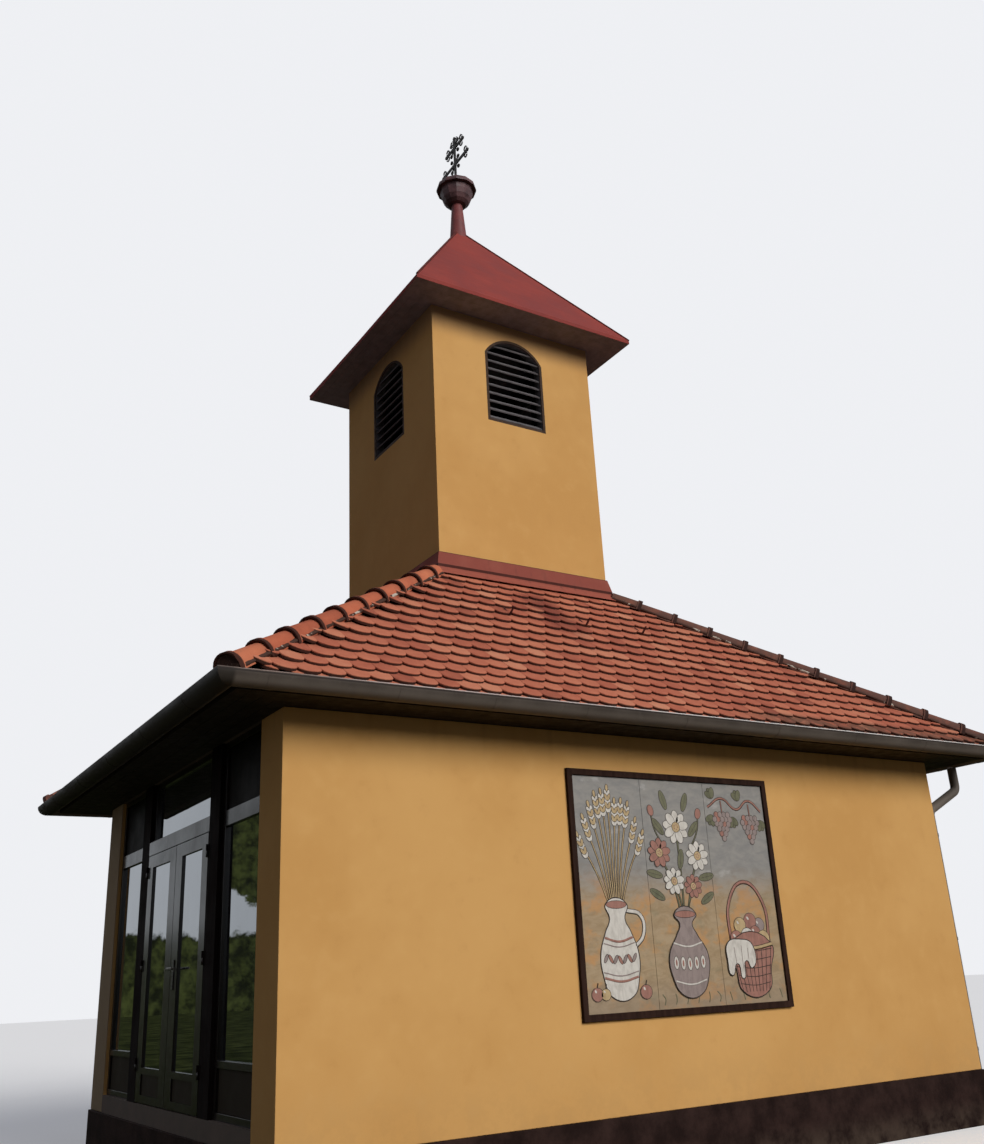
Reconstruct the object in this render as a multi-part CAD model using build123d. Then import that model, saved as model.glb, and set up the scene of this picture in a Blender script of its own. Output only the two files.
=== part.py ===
from build123d import *
import math
import os

os.makedirs("parts", exist_ok=True)

# Walls, over their outer faces
wall_width = 4870
wall_length = 6870
wall_thickness = 430
wall_height = 2700  # floor to eaves soffit

# Base and slabs
plinth_height = 454
plinth_reveal = 20  # plinth stands out past the walls
plinth_ledge = 120  # inner step that carries the floor slab
floor_thickness = 146
ceiling_thickness = 160

# Eaves, from the wall face to the outer edge of the gutter
side_eave = 542
front_eave = 654
back_eave = 654
soffit_board = 20
fascia_board = 25

# Gutters and downpipe
gutter_radius = 96
gutter_sheet = 3
gutter_bead = 9  # radius of the rolled lip
gutter_lip_rise = 83  # lip above the soffit
pipe_radius = 45
pipe_wall = 3
pipe_from_corner = 100  # pipe centre line to the side wall face
pipe_off_wall = 25  # clear space behind the pipe
pipe_outlet_drop = 227  # gutter bottom to the upper elbow
pipe_offset_drop = 230  # upper elbow to lower elbow
pipe_elbow_radius = 80
pipe_foot_height = 260  # lower end above the ground
pipe_shoe = 120  # length of the turned-out foot
clip_end_gap = 240  # straight pipe past the outer clips
clip_height = 30
clip_thickness = 4
clip_count = 3

# Tiled roof
tile_setback = 58  # tile edge behind the gutter's outer edge
tile_edge_rise = 130  # top of the tiles at the eaves above the soffit
roof_rise = 1743  # eaves edge of the tiles to the tower foot
roof_thickness = 90  # tiles, battens and boards, measured plumb
tile_thickness = 45  # tiles alone, past the fascia
hip_low_radius = 112  # wide lower end of a hip tile
hip_high_radius = 92
hip_tile_pitch = 385
hip_start = 18  # up the hip from the corner of the tiles
hip_sink = 52  # axis of the hip tiles below the line where the slopes meet
hip_overhang = 30  # hip tiles past the tile edges

# Tower
tower_width = 2076
tower_depth = 2000
tower_setback = 2082  # front wall face to the tower's front face
tower_wall = 250
tower_height = 7520  # floor to the tower's soffit
flashing_upstand = 147
flashing_sheet = 12
flashing_flare = 33  # foot of the upstand stands out from its head
apron_width = 118  # sheet on the tiles, in plan from the tower's face
apron_thickness = 5

# Arched louvre openings
louvre_width = 727
louvre_straight = 824  # sill to springing
louvre_rise = 215
louvre_drop = 171  # crown of the opening below the tower's soffit
louvre_frame = 30
louvre_depth = 110
slat_count = 10
slat_thickness = 12
slat_board = 104
slat_tilt = 42

# Tower roof
tower_eave = 355
tower_soffit_board = 20
tower_roof_edge = 22
tower_roof_height = 1978  # eaves edge to the apex of the planes
tower_roof_thickness = 45  # sheet and boards, measured plumb

# Finial
stem_low_radius = 120
stem_high_radius = 67
stem_rise = 366  # top of the stem above the apex of the planes
ball_gores = 12
ball_radius = 242
ball_rim_drop = 26
ball_bowl_radius = 200
ball_bowl_height = 230
ball_dome_height = 100
ball_cap_radius = 42  # flat top that the cross stands on
ball_steps = 5  # bends in each gore of the dome and of the bowl
cross_height = 728
cross_plate = 16
cross_bar = 38
cross_low_bar = 660
cross_low_level = 298
cross_high_bar = 465
cross_high_level = 557
bud_radius = 24  # round end of each arm
curl_radius = 35  # C-curls beside the buds
curl_bar = 8
curl_setback = 44  # curl centre behind the bud
ray_length = 112  # diagonal rays at the crossings, to the middle of their rings
ray_bar = 11
ray_ring_radius = 25

# Glazed front
post_width = 240
post_depth = 140
doorway_width = 1752
doorway_height = 2045
frame_face = 50
frame_depth = 70
frame_setback = 35  # frames behind the front of the posts
glass_thickness = 24
panel_thickness = 30
sidelight_glass_sill = 388
transom_bar = 121  # height of the bar over the doorway and the sidelight rails in line with it

# Door leaves
leaf_thickness = 56
leaf_side_gap = 12
leaf_meeting_gap = 10
leaf_head_gap = 6
leaf_foot_gap = 10
leaf_stile = 144
leaf_meeting_stile = 172
leaf_top_rail = 106
leaf_bottom_rail = 60
leaf_mid_rail = 50
leaf_glass_sill = 280
hinge_radius = 9
hinge_height = 100
hinge_plate = 4
hinge_flap = 36
hinge_foot_gap = 240  # leaf's foot to its lowest hinge
hinge_head_gap = 93  # leaf's head to its top hinge
hinge_gap = 0.3  # between the two halves of a knuckle
hinge_stand_off = 1  # knuckle off the door's face

# Door handle
handle_level = 1045
handle_plate_above = 69  # back plate above and below the lever's axis
handle_plate_below = 161
handle_plate_width = 42
handle_plate_thickness = 8
handle_neck_radius = 10
handle_reach = 55
lever_length = 130
lever_height = 20
lever_thickness = 14
lever_rounding = 5.6

# Painted panels on the right wall
mural_from_front = 2375
mural_width = 2171
mural_height = 1886
mural_sill = 510  # above the floor
mural_border = 50
mural_frame_depth = 30
mural_panel_depth = 12
mural_panels = 3
mural_seam = 3

seat_gap = 0.3  # between pieces that only rest against each other

# Derived levels
floor_z = plinth_height + floor_thickness
soffit_z = floor_z + wall_height
ceiling_top_z = soffit_z + ceiling_thickness
lip_z = soffit_z + gutter_lip_rise
eave_z = soffit_z + tile_edge_rise
tower_foot_z = eave_z + roof_rise
tower_top_z = floor_z + tower_height
tower_eave_z = tower_top_z + tower_soffit_board
apex_z = tower_eave_z + tower_roof_edge + tower_roof_height
stem_top_z = apex_z + stem_rise
louvre_sill_z = tower_top_z - louvre_drop - louvre_rise - louvre_straight
transom_z = floor_z + doorway_height + transom_bar

# Derived plan positions: origin under the middle of the whole outline
half_width = wall_width / 2
room_half = half_width - wall_thickness
front_y = (front_eave - wall_length - back_eave) / 2
back_y = front_y + wall_length
tower_half = tower_width / 2
tower_front_y = front_y + tower_setback
tower_back_y = tower_front_y + tower_depth
tower_mid_y = (tower_front_y + tower_back_y) / 2
fascia_inset = 2 * gutter_radius + seat_gap  # gutter's outer edge to the fascia face

side_names = ("front", "right", "back", "left")


def block(x0, x1, y0, y1, z0, z1):
    return Pos((x0 + x1) / 2, (y0 + y1) / 2, (z0 + z1) / 2) * Box(x1 - x0, y1 - y0, z1 - z0)


def around_walls(side, front, back):
    """Corner points of the walls' outline grown by a side, front and back reach."""
    x = half_width + side
    return [(-x, front_y - front), (x, front_y - front), (x, back_y + back), (-x, back_y + back)]


tower_corners = [
    (-tower_half, tower_front_y),
    (tower_half, tower_front_y),
    (tower_half, tower_back_y),
    (-tower_half, tower_back_y),
]
gutter_corners = around_walls(side_eave, front_eave, back_eave)
tile_corners = around_walls(side_eave - tile_setback, front_eave - tile_setback, back_eave - tile_setback)
fascia_corners = around_walls(side_eave - fascia_inset, front_eave - fascia_inset, back_eave - fascia_inset)
wall_corners = around_walls(0, 0, 0)


def pair(corners, side):
    """The two corners at the ends of one side, in order round the plan."""
    return corners[side], corners[(side + 1) % 4]


def prism(points, direction, amount):
    return extrude(Face(Wire.make_polygon([Vector(*p) for p in points])), amount=amount, dir=direction)


# Base, slabs and masonry walls

def plinth():
    x0 = half_width + plinth_reveal
    y0 = front_y - plinth_reveal
    y1 = back_y + plinth_reveal
    inner = room_half - plinth_ledge
    inset = wall_thickness + plinth_ledge
    ring = block(-x0, x0, y0, y1, 0, plinth_height)
    return ring - block(-inner, inner, front_y + inset, back_y - inset, 0, plinth_height)


def floor_slab():
    return block(-room_half, room_half, front_y, back_y - wall_thickness, plinth_height, floor_z)


def side_wall(sign):
    inner, outer = sorted((sign * room_half, sign * half_width))
    return block(inner, outer, front_y, back_y, plinth_height, soffit_z)


def back_wall():
    return block(-room_half, room_half, back_y - wall_thickness, back_y, plinth_height, soffit_z)


def ceiling_slab():
    return block(-half_width, half_width, front_y, back_y, soffit_z, ceiling_top_z)


# Eaves

def side_normal(side):
    """Unit vector that points outwards from one side of the plan."""
    return [(0, -1), (1, 0), (0, 1), (-1, 0)][side]


def slope_drop(side, distance):
    """How far a roof plane falls over a plan distance on one side."""
    eave = tile_corners[side]
    foot = tower_corners[side]
    nx, ny = side_normal(side)
    run = (eave[0] - foot[0]) * nx + (eave[1] - foot[1]) * ny
    return roof_rise * distance / run


def outward(points, side, distance):
    nx, ny = side_normal(side)
    return [(x + nx * distance, y + ny * distance) for x, y in points]


def plan_prism(points, z0, z1):
    return prism([(x, y, z0) for x, y in points], (0, 0, 1), z1 - z0)


def boxed_eave(side):
    """Soffit board and fascia of one side, mitred to its neighbours."""
    a, b = pair(wall_corners, side)
    c, d = pair(fascia_corners, side)
    setback = fascia_inset - tile_setback
    fascia_top = eave_z - roof_thickness + slope_drop(side, setback)
    whole = plan_prism([a, b, d, c], soffit_z, fascia_top)
    inner = outward([c, d], side, -fascia_board)
    far = outward([c, d], side, -wall_width)
    box = whole - plan_prism([inner[0], inner[1], far[1], far[0]], soffit_z + soffit_board, fascia_top)
    return box - roof_slope((side - 1) % 4) - roof_slope((side + 1) % 4)


def gutter(side):
    """Half-round channel with a rolled lip, mitred at both corners."""
    a, b = pair(gutter_corners, side)
    nx, ny = side_normal(side)
    start = Vector(a[0], a[1], lip_z)
    run = Vector(b[0] - a[0], b[1] - a[1], 0)
    section = Plane(origin=start, x_dir=(nx, ny, 0), z_dir=run)
    up = section.y_dir.Z
    middle = -gutter_radius
    ring = Pos(middle, 0) * (Circle(gutter_radius) - Circle(gutter_radius - gutter_sheet))
    lower = Pos(middle, -up * gutter_radius) * Rectangle(4 * gutter_radius, 2 * gutter_radius)
    bead = Pos(-gutter_bead, 0) * Circle(gutter_bead)
    trough = extrude(section * (ring & lower + bead), amount=run.length)
    along = run.normalized()
    inward = Vector(-nx, -ny, 0)
    first = Plane(origin=start, z_dir=along - inward)
    last = Plane(origin=(b[0], b[1], lip_z), z_dir=-along - inward)
    return split(split(trough, bisect_by=first, keep=Keep.TOP), bisect_by=last, keep=Keep.TOP)


pipe_x = half_width - pipe_from_corner
pipe_top_y = back_y + back_eave - gutter_radius  # centre line of the back gutter


def gutter_outlet():
    return Pos(pipe_x, pipe_top_y, lip_z - gutter_radius) * Cylinder(pipe_radius - pipe_wall, gutter_radius)


def downpipe():
    """Swan neck from the back gutter to the wall, then straight down to a turned-out foot."""
    wall_y = back_y + pipe_off_wall + pipe_radius
    top = lip_z - gutter_radius - seat_gap
    elbow = top - pipe_outlet_drop
    foot_y = wall_y + pipe_shoe
    route = FilletPolyline(
        (pipe_x, pipe_top_y, top),
        (pipe_x, pipe_top_y, elbow),
        (pipe_x, wall_y, elbow - pipe_offset_drop),
        (pipe_x, wall_y, pipe_foot_height + pipe_shoe),
        (pipe_x, foot_y, pipe_foot_height),
        radius=pipe_elbow_radius,
    )
    mouth = Plane(origin=route @ 0, z_dir=route % 0)
    tube = sweep(mouth * (Circle(pipe_radius) - Circle(pipe_radius - pipe_wall)), path=route)
    low = pipe_foot_height + pipe_shoe + clip_end_gap
    high = elbow - pipe_offset_drop - clip_end_gap
    half = clip_height / 2
    clips = []
    for i in range(clip_count):
        z = low + (high - low) * i / (clip_count - 1)
        band = Pos(pipe_x, wall_y, z) * Cylinder(pipe_radius + clip_thickness, clip_height)
        stub = block(pipe_x - half, pipe_x + half, back_y, wall_y, z - half, z + half)
        hole = Pos(pipe_x, wall_y, z) * Cylinder(pipe_radius - pipe_wall / 2, 2 * clip_height)
        clips.append(band + stub - hole)
    return tube + clips


# Tiled roof

def roof_plane(side, reach=0):
    """Corner points of one tiled plane, its hips run on past the eaves by a share of their length."""
    points = []
    for eave, foot in zip(pair(tile_corners, side), pair(tower_corners, side)):
        x = eave[0] + (eave[0] - foot[0]) * reach
        y = eave[1] + (eave[1] - foot[1]) * reach
        points.append((x, y, eave_z - roof_rise * reach))
    for foot in reversed(pair(tower_corners, side)):
        points.append((*foot, tower_foot_z))
    return points


def roof_slope(side):
    """One tiled plane: boards and battens as far as the fascia, and tiles alone over the gutter."""
    plane = roof_plane(side)
    boarded = plan_prism(fascia_corners, soffit_z, tower_top_z)
    return prism(plane, (0, 0, -1), tile_thickness) + (prism(plane, (0, 0, -1), roof_thickness) & boarded)


def under_roof(side):
    """Space below one tiled plane, run on past the eaves, to trim what stands on the tiles."""
    past_the_edge = 2 * hip_low_radius / front_eave
    return prism(roof_plane(side, reach=past_the_edge), (0, 0, -1), roof_rise / 2)


def hip_cap(corner):
    """Row of tapered hip tiles bedded on the tiles, wide end down."""
    high = Vector(*tower_corners[corner], tower_foot_z)
    direction = (high - Vector(*tile_corners[corner], eave_z)).normalized()
    low = Vector(*tile_corners[corner], eave_z) + direction * hip_start
    rise = high - low
    off_roof = direction.cross(Vector(0, 0, 1)).cross(direction).normalized()
    axis_foot = low - off_roof * hip_sink
    count = round(rise.length / hip_tile_pitch)
    pitch = rise.length / count
    cap = None
    for i in range(count):
        seat = Plane(origin=axis_foot + direction * (i * pitch), z_dir=direction)
        tile = Solid.make_cone(hip_low_radius, hip_high_radius, pitch, seat)
        cap = tile if cap is None else cap + tile
    cap = cap - under_roof((corner - 1) % 4) - under_roof(corner)
    foot = apron_width + seat_gap
    x = tower_half + foot
    y0 = tower_front_y - foot
    y1 = tower_back_y + foot
    edges = around_walls(*(eave - tile_setback + hip_overhang for eave in (side_eave, front_eave, back_eave)))
    return (cap & plan_prism(edges, soffit_z, tower_top_z)) - block(-x, x, y0, y1, eave_z, tower_top_z)


def tower_block(grow, z0, z1):
    return block(
        -tower_half - grow, tower_half + grow, tower_front_y - grow, tower_back_y + grow, z0, z1
    )


def pyramid(half_x, half_y, z0, height):
    """Four-sided spire on the tower's axis, from the two ridged prisms that meet in it."""
    y0 = tower_mid_y - half_y
    y1 = tower_mid_y + half_y
    z1 = z0 + height
    across = prism([(-half_x, y0, z0), (half_x, y0, z0), (0, y0, z1)], (0, 1, 0), 2 * half_y)
    along = prism([(-half_x, y0, z0), (-half_x, y1, z0), (-half_x, tower_mid_y, z1)], (1, 0, 0), 2 * half_x)
    return across & along


def roof_skin(side, thickness):
    """Sheet of one thickness, measured plumb, on top of one tiled plane."""
    return prism(roof_plane(side), (0, 0, 1), thickness)


def tower_flashing():
    """Flared upstand round the tower, and its apron dressed over the tiles."""
    low = tower_foot_z - slope_drop(1, apron_width)
    high = tower_foot_z + flashing_upstand
    flare = flashing_sheet + flashing_flare
    steep = flashing_upstand / flashing_flare
    half_x = tower_half + flare
    half_y = tower_depth / 2 + flare
    batter = pyramid(half_x, half_y, tower_foot_z, half_x * steep)
    skirt = batter & tower_block(flare, tower_foot_z, high)
    apron = tower_block(flare, low, tower_foot_z)
    for side in range(4):
        apron = apron + (roof_skin(side, apron_thickness) & tower_block(apron_width, low, high))
    sheet = skirt + apron - tower_block(0, low, high)
    for side in range(4):
        sheet = sheet - under_roof(side)
    return sheet


# Tower

def arch_prism(width, straight, rise, depth):
    """Segmental arch outline, standing on the origin in XZ and centred on it along Y."""
    half = width / 2
    base = Polyline((-half, straight), (-half, 0), (half, 0), (half, straight))
    crown = ThreePointArc((half, straight), (0, straight + rise), (-half, straight))
    outline = make_face([*base.edges(), *crown.edges()])
    return Rot(90, 0, 0) * extrude(outline, amount=depth / 2, both=True)


def tower_side_place(side):
    """Middle of one tower face, turned so that -Y faces outwards."""
    (x0, y0), (x1, y1) = pair(tower_corners, side)
    return Pos((x0 + x1) / 2, (y0 + y1) / 2, louvre_sill_z) * Rot(0, 0, 90 * side)


def tower_side_wall(side):
    z0, z1 = ceiling_top_z, tower_top_z
    if side in (0, 2):
        y = tower_front_y if side == 0 else tower_back_y - tower_wall
        wall = block(-tower_half, tower_half, y, y + tower_wall, z0, z1)
    else:
        x = tower_half - tower_wall if side == 1 else -tower_half
        wall = block(x, x + tower_wall, tower_front_y + tower_wall, tower_back_y - tower_wall, z0, z1)
    hole = arch_prism(louvre_width, louvre_straight, louvre_rise, 3 * tower_wall)
    return wall - tower_side_place(side) * hole


def louvre():
    """Arched frame with tilted slats, its front face on the XZ plane."""
    width = louvre_width - 2 * seat_gap
    straight = louvre_straight - seat_gap
    clear_width = width - 2 * louvre_frame
    clear_straight = straight - louvre_frame
    middle = Pos(0, louvre_depth / 2, 0)
    outer = middle * Pos(0, 0, seat_gap) * arch_prism(width, straight, louvre_rise - seat_gap, louvre_depth)
    lift = middle * Pos(0, 0, seat_gap + louvre_frame)
    clear = lift * arch_prism(clear_width, clear_straight, louvre_rise - louvre_frame, 2 * louvre_depth)
    pitch = (louvre_straight + louvre_rise - 2 * louvre_frame) / slat_count
    slats = []
    for i in range(slat_count):
        z = louvre_frame + pitch * (i + 0.5)
        board = Rot(slat_tilt, 0, 0) * Box(louvre_width, slat_board, slat_thickness)
        slats.append(middle * Pos(0, 0, z) * board & outer)
    return (outer - clear) + slats


def tower_soffit():
    return tower_block(tower_eave, tower_top_z, tower_eave_z)


roof_half_x = tower_half + tower_eave
roof_half_y = tower_depth / 2 + tower_eave


def tower_roof_planes():
    return pyramid(roof_half_x, roof_half_y, tower_eave_z + tower_roof_edge, tower_roof_height)


def tower_roof():
    """Sheet-clad pyramid, hollow over the soffit boards, with an upright edge at its eaves."""
    edge = tower_block(tower_eave, tower_eave_z, tower_eave_z + tower_roof_edge)
    hollow_height = tower_roof_height + tower_roof_edge - tower_roof_thickness
    share = hollow_height / tower_roof_height
    hollow = pyramid(roof_half_x * share, roof_half_y * share, tower_eave_z, hollow_height)
    return edge + tower_roof_planes() - hollow


# Finial

def finial_stem():
    """Tapered sheet pipe that the spire runs up into."""
    z0 = apex_z - 2 * stem_low_radius * tower_roof_height / roof_half_x
    height = stem_top_z - z0
    pipe = Pos(0, tower_mid_y, z0 + height / 2) * Cone(stem_low_radius, stem_high_radius, height)
    return pipe - tower_roof_planes()


def ball_top():
    return stem_top_z + ball_bowl_height + ball_rim_drop + ball_dome_height


def gored(rings):
    """Form of sheet gores round the tower's axis, through rings of radius and level."""
    sections = [
        Pos(0, tower_mid_y, z) * RegularPolygon(radius, ball_gores, major_radius=False) for radius, z in rings
    ]
    return loft(sections, ruled=True)


def finial_ball():
    """Closed sheet ball: a domed cover whose rim laps over a smaller tapering bowl."""
    z1 = stem_top_z + ball_bowl_height
    z2 = z1 + ball_rim_drop
    bowl = []
    dome = [(ball_radius, z1)]
    for i in range(ball_steps + 1):
        turn = math.pi / 2 * i / ball_steps
        bulge = ball_bowl_radius - stem_high_radius
        bowl.append((stem_high_radius + bulge * math.sin(turn), z1 - ball_bowl_height * math.cos(turn)))
        shrink = ball_radius - ball_cap_radius
        dome.append((ball_cap_radius + shrink * math.cos(turn), z2 + ball_dome_height * math.sin(turn)))
    return gored(bowl) + gored(dome)


def flat_bar(a, b, width):
    """Flat bar between two points of a sketch, with round ends."""
    length = math.dist(a, b)
    angle = math.degrees(math.atan2(b[1] - a[1], b[0] - a[0]))
    return Pos((a[0] + b[0]) / 2, (a[1] + b[1]) / 2) * Rot(0, 0, angle) * SlotOverall(length + width, width)


def arm(root, length, angle):
    """Arm of the cross with a round bud at its tip and a C-curl on each side of it."""
    x = length - bud_radius
    curl_middle = curl_radius - curl_bar / 2
    curl = Circle(curl_radius) - Circle(curl_radius - curl_bar) - Pos(curl_middle, 0) * Circle(curl_bar)
    shape = flat_bar((0, 0), (x, 0), cross_bar) + Pos(x, 0) * Circle(bud_radius)
    reach = cross_bar / 2 + curl_middle
    for side in (-1, 1):
        shape = shape + Pos(x - curl_setback, side * reach) * curl
    return Pos(*root) * Rot(0, 0, angle) * shape


def crossing_rays(level):
    """Four diagonal rays at a crossing, each with a ring at its end."""
    ring = Circle(ray_ring_radius) - Circle(ray_ring_radius - curl_bar)
    ray = flat_bar((0, 0), (ray_length - ray_ring_radius, 0), ray_bar) + Pos(ray_length, 0) * ring
    shape = None
    for quarter in range(4):
        turned = Pos(0, level) * Rot(0, 0, 45 + 90 * quarter) * ray
        shape = turned if shape is None else shape + turned
    return shape


def finial_cross():
    """Wrought double-barred cross, cut from flat bar, with buds, curls and rays."""
    sketch = flat_bar((0, cross_bar / 2), (0, cross_high_level), cross_bar)
    sketch = sketch + arm((0, cross_high_level), cross_height - cross_high_level, 90)
    for length, level in ((cross_low_bar, cross_low_level), (cross_high_bar, cross_high_level)):
        sketch = sketch + arm((0, level), length / 2, 0) + arm((0, level), length / 2, 180)
        sketch = sketch + crossing_rays(level)
    plate = Rot(90, 0, 0) * extrude(sketch, amount=cross_plate / 2, both=True)
    return Pos(0, tower_mid_y, ball_top() + seat_gap) * plate


# Glazed front

doorway_half = doorway_width / 2
frame_y = front_y + frame_setback
axis_x = doorway_half - leaf_side_gap / 2  # hinge line, over the gap beside the leaf
axis_y = front_y - hinge_radius - hinge_stand_off
leaf_outer_x = doorway_half - leaf_side_gap
leaf_inner_x = leaf_meeting_gap / 2
leaf_foot_z = floor_z + leaf_foot_gap
leaf_head_z = floor_z + doorway_height - leaf_head_gap


def knuckles(x, direction, upper):
    """One body's halves of the hinge knuckles, with flaps towards the piece they are screwed to."""
    halves = []
    half_height = (hinge_height - hinge_gap) / 2
    lowest = leaf_foot_z + hinge_foot_gap
    highest = leaf_head_z - hinge_head_gap - hinge_height
    for foot in (lowest, (lowest + highest) / 2, highest):
        z0 = foot + (hinge_height - half_height if upper else 0)
        barrel = Pos(x, axis_y, z0 + half_height / 2) * Cylinder(hinge_radius, half_height)
        x0, x1 = sorted((x, x + direction * hinge_flap))
        halves.append(barrel + block(x0, x1, front_y - hinge_plate, front_y, z0, z0 + half_height))
    return halves


def post(sign):
    x0, x1 = sorted((sign * doorway_half, sign * (doorway_half + post_width)))
    shaft = block(x0, x1, front_y, front_y + post_depth, floor_z, soffit_z)
    return shaft + knuckles(sign * axis_x, sign, upper=True)


def sidelight_span(sign):
    return sorted((sign * (doorway_half + post_width), sign * room_half))


sidelight_holes = (
    (floor_z + frame_face, floor_z + sidelight_glass_sill - frame_face),
    (floor_z + sidelight_glass_sill, floor_z + doorway_height),
    (transom_z, soffit_z - frame_face),
)


def sidelight_hole(sign, index, y0, y1):
    x0, x1 = sidelight_span(sign)
    return block(x0 + frame_face, x1 - frame_face, y0, y1, *sidelight_holes[index])


def sidelight_frame(sign):
    x0, x1 = sidelight_span(sign)
    frame = block(x0, x1, frame_y, frame_y + frame_depth, floor_z, soffit_z)
    for index in range(len(sidelight_holes)):
        frame = frame - sidelight_hole(sign, index, frame_y, frame_y + frame_depth)
    return frame


def sidelight_fill(sign, index, thickness):
    y0 = frame_y + (frame_depth - thickness) / 2
    return sidelight_hole(sign, index, y0, y0 + thickness)


def sidelight_panels(sign):
    return Compound([sidelight_fill(sign, 0, panel_thickness), sidelight_fill(sign, 2, panel_thickness)])


def transom_light(y0, y1):
    """Space inside the frame over the doorway bar."""
    x = doorway_half - frame_face
    return block(-x, x, y0, y1, transom_z, soffit_z - frame_face)


def transom_glass():
    y0 = frame_y + (frame_depth - glass_thickness) / 2
    return transom_light(y0, y0 + glass_thickness)


def transom_frame():
    """Bar over the doorway and the frame of the glass above it."""
    x = doorway_half
    bar = block(-x, x, front_y, front_y + post_depth, floor_z + doorway_height, transom_z)
    frame = block(-x, x, frame_y, frame_y + frame_depth, transom_z, soffit_z)
    return bar + (frame - transom_light(frame_y, frame_y + frame_depth))


# Door leaves: each is drawn as the right one, and mirrored for the left

leaf_holes = (
    (leaf_foot_z + leaf_bottom_rail, floor_z + leaf_glass_sill - leaf_mid_rail),
    (floor_z + leaf_glass_sill, leaf_head_z - leaf_top_rail),
)


def leaf_hole(index, y0, y1):
    z0, z1 = leaf_holes[index]
    return block(leaf_inner_x + leaf_meeting_stile, leaf_outer_x - leaf_stile, y0, y1, z0, z1)


def leaf_frame():
    frame = block(leaf_inner_x, leaf_outer_x, front_y, front_y + leaf_thickness, leaf_foot_z, leaf_head_z)
    for index in range(len(leaf_holes)):
        frame = frame - leaf_hole(index, front_y, front_y + leaf_thickness)
    return frame + knuckles(axis_x, -1, upper=False)


def leaf_fill(index, thickness):
    y0 = front_y + (leaf_thickness - thickness) / 2
    return leaf_hole(index, y0, y0 + thickness)


def handle_half():
    """Back plate, neck and lever on the outside of the leaf."""
    x = leaf_inner_x + leaf_meeting_stile / 2
    z = floor_z + handle_level
    plate_half = handle_plate_width / 2
    plate = block(
        x - plate_half, x + plate_half,
        front_y - handle_plate_thickness, front_y,
        z - handle_plate_below, z + handle_plate_above,
    )
    neck = Pos(x, front_y - handle_reach / 2, z) * Rot(90, 0, 0) * Cylinder(handle_neck_radius, handle_reach)
    y = front_y - handle_reach
    lever = block(
        x - lever_height / 2, x + lever_length,
        y - lever_thickness / 2, y + lever_thickness / 2,
        z - lever_height / 2, z + lever_height / 2,
    )
    return plate + neck + fillet(lever.edges().filter_by(Axis.X), lever_rounding)


def door_handle():
    """Levers on both faces of the leaf."""
    middle = Plane(origin=(0, front_y + leaf_thickness / 2, 0), z_dir=(0, 1, 0))
    outside = handle_half()
    return Compound([*outside.solids(), *mirror(outside, about=middle).solids()])


def left_of(shape):
    return mirror(shape, about=Plane.YZ)


# Painted panels on the right wall

def mural_field():
    y0 = front_y + mural_from_front
    z0 = floor_z + mural_sill
    return y0, y0 + mural_width, z0, z0 + mural_height


def mural_frame():
    y0, y1, z0, z1 = mural_field()
    x0, x1 = half_width, half_width + mural_frame_depth
    border = mural_border
    return block(x0, x1, y0, y1, z0, z1) - block(x0, x1, y0 + border, y1 - border, z0 + border, z1 - border)


def mural_boards():
    y0, y1, z0, z1 = mural_field()
    left = y0 + mural_border
    width = (y1 - y0 - 2 * mural_border - (mural_panels - 1) * mural_seam) / mural_panels
    boards = []
    for i in range(mural_panels):
        start = left + i * (width + mural_seam)
        boards.append(
            block(
                half_width, half_width + mural_panel_depth,
                start, start + width, z0 + mural_border, z1 - mural_border,
            )
        )
    return Compound(boards)


pieces = {
    "plinth": plinth(),
    "floor_slab": floor_slab(),
    "left_wall": side_wall(-1),
    "right_wall": side_wall(1),
    "back_wall": back_wall(),
    "ceiling_slab": ceiling_slab(),
    "downpipe": downpipe(),
    "tower_flashing": tower_flashing(),
    "tower_soffit": tower_soffit(),
    "tower_roof": tower_roof(),
    "finial_stem": finial_stem(),
    "finial_ball": finial_ball(),
    "finial_cross": finial_cross(),
    "left_post": post(-1),
    "right_post": post(1),
    "transom_frame": transom_frame(),
    "transom_glass": transom_glass(),
    "door_handle": door_handle(),
    "mural_frame": mural_frame(),
    "mural_boards": mural_boards(),
    "hip_tiles": Compound([hip_cap(corner) for corner in range(4)]),
}
for side, name in enumerate(side_names):
    pieces[f"eaves_{name}"] = boxed_eave(side)
    pieces[f"gutter_{name}"] = gutter(side) - gutter_outlet() if name == "back" else gutter(side)
    pieces[f"roof_{name}"] = roof_slope(side)
    pieces[f"tower_{name}_wall"] = tower_side_wall(side)
    pieces[f"tower_{name}_louvre"] = tower_side_place(side) * louvre()
for name, sign in (("left", -1), ("right", 1)):
    pieces[f"{name}_sidelight_frame"] = sidelight_frame(sign)
    pieces[f"{name}_sidelight_glass"] = sidelight_fill(sign, 1, glass_thickness)
    pieces[f"{name}_sidelight_panels"] = sidelight_panels(sign)
    flip = left_of if sign < 0 else lambda shape: shape
    pieces[f"{name}_leaf_frame"] = flip(leaf_frame())
    pieces[f"{name}_leaf_panel"] = flip(leaf_fill(0, panel_thickness))
    pieces[f"{name}_leaf_glass"] = flip(leaf_fill(1, glass_thickness))

for name, shape in pieces.items():
    export_step(shape, f"parts/{name}.step")
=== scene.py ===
import math
import random

import bmesh
import bpy
from mathutils import Matrix, Vector


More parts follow.
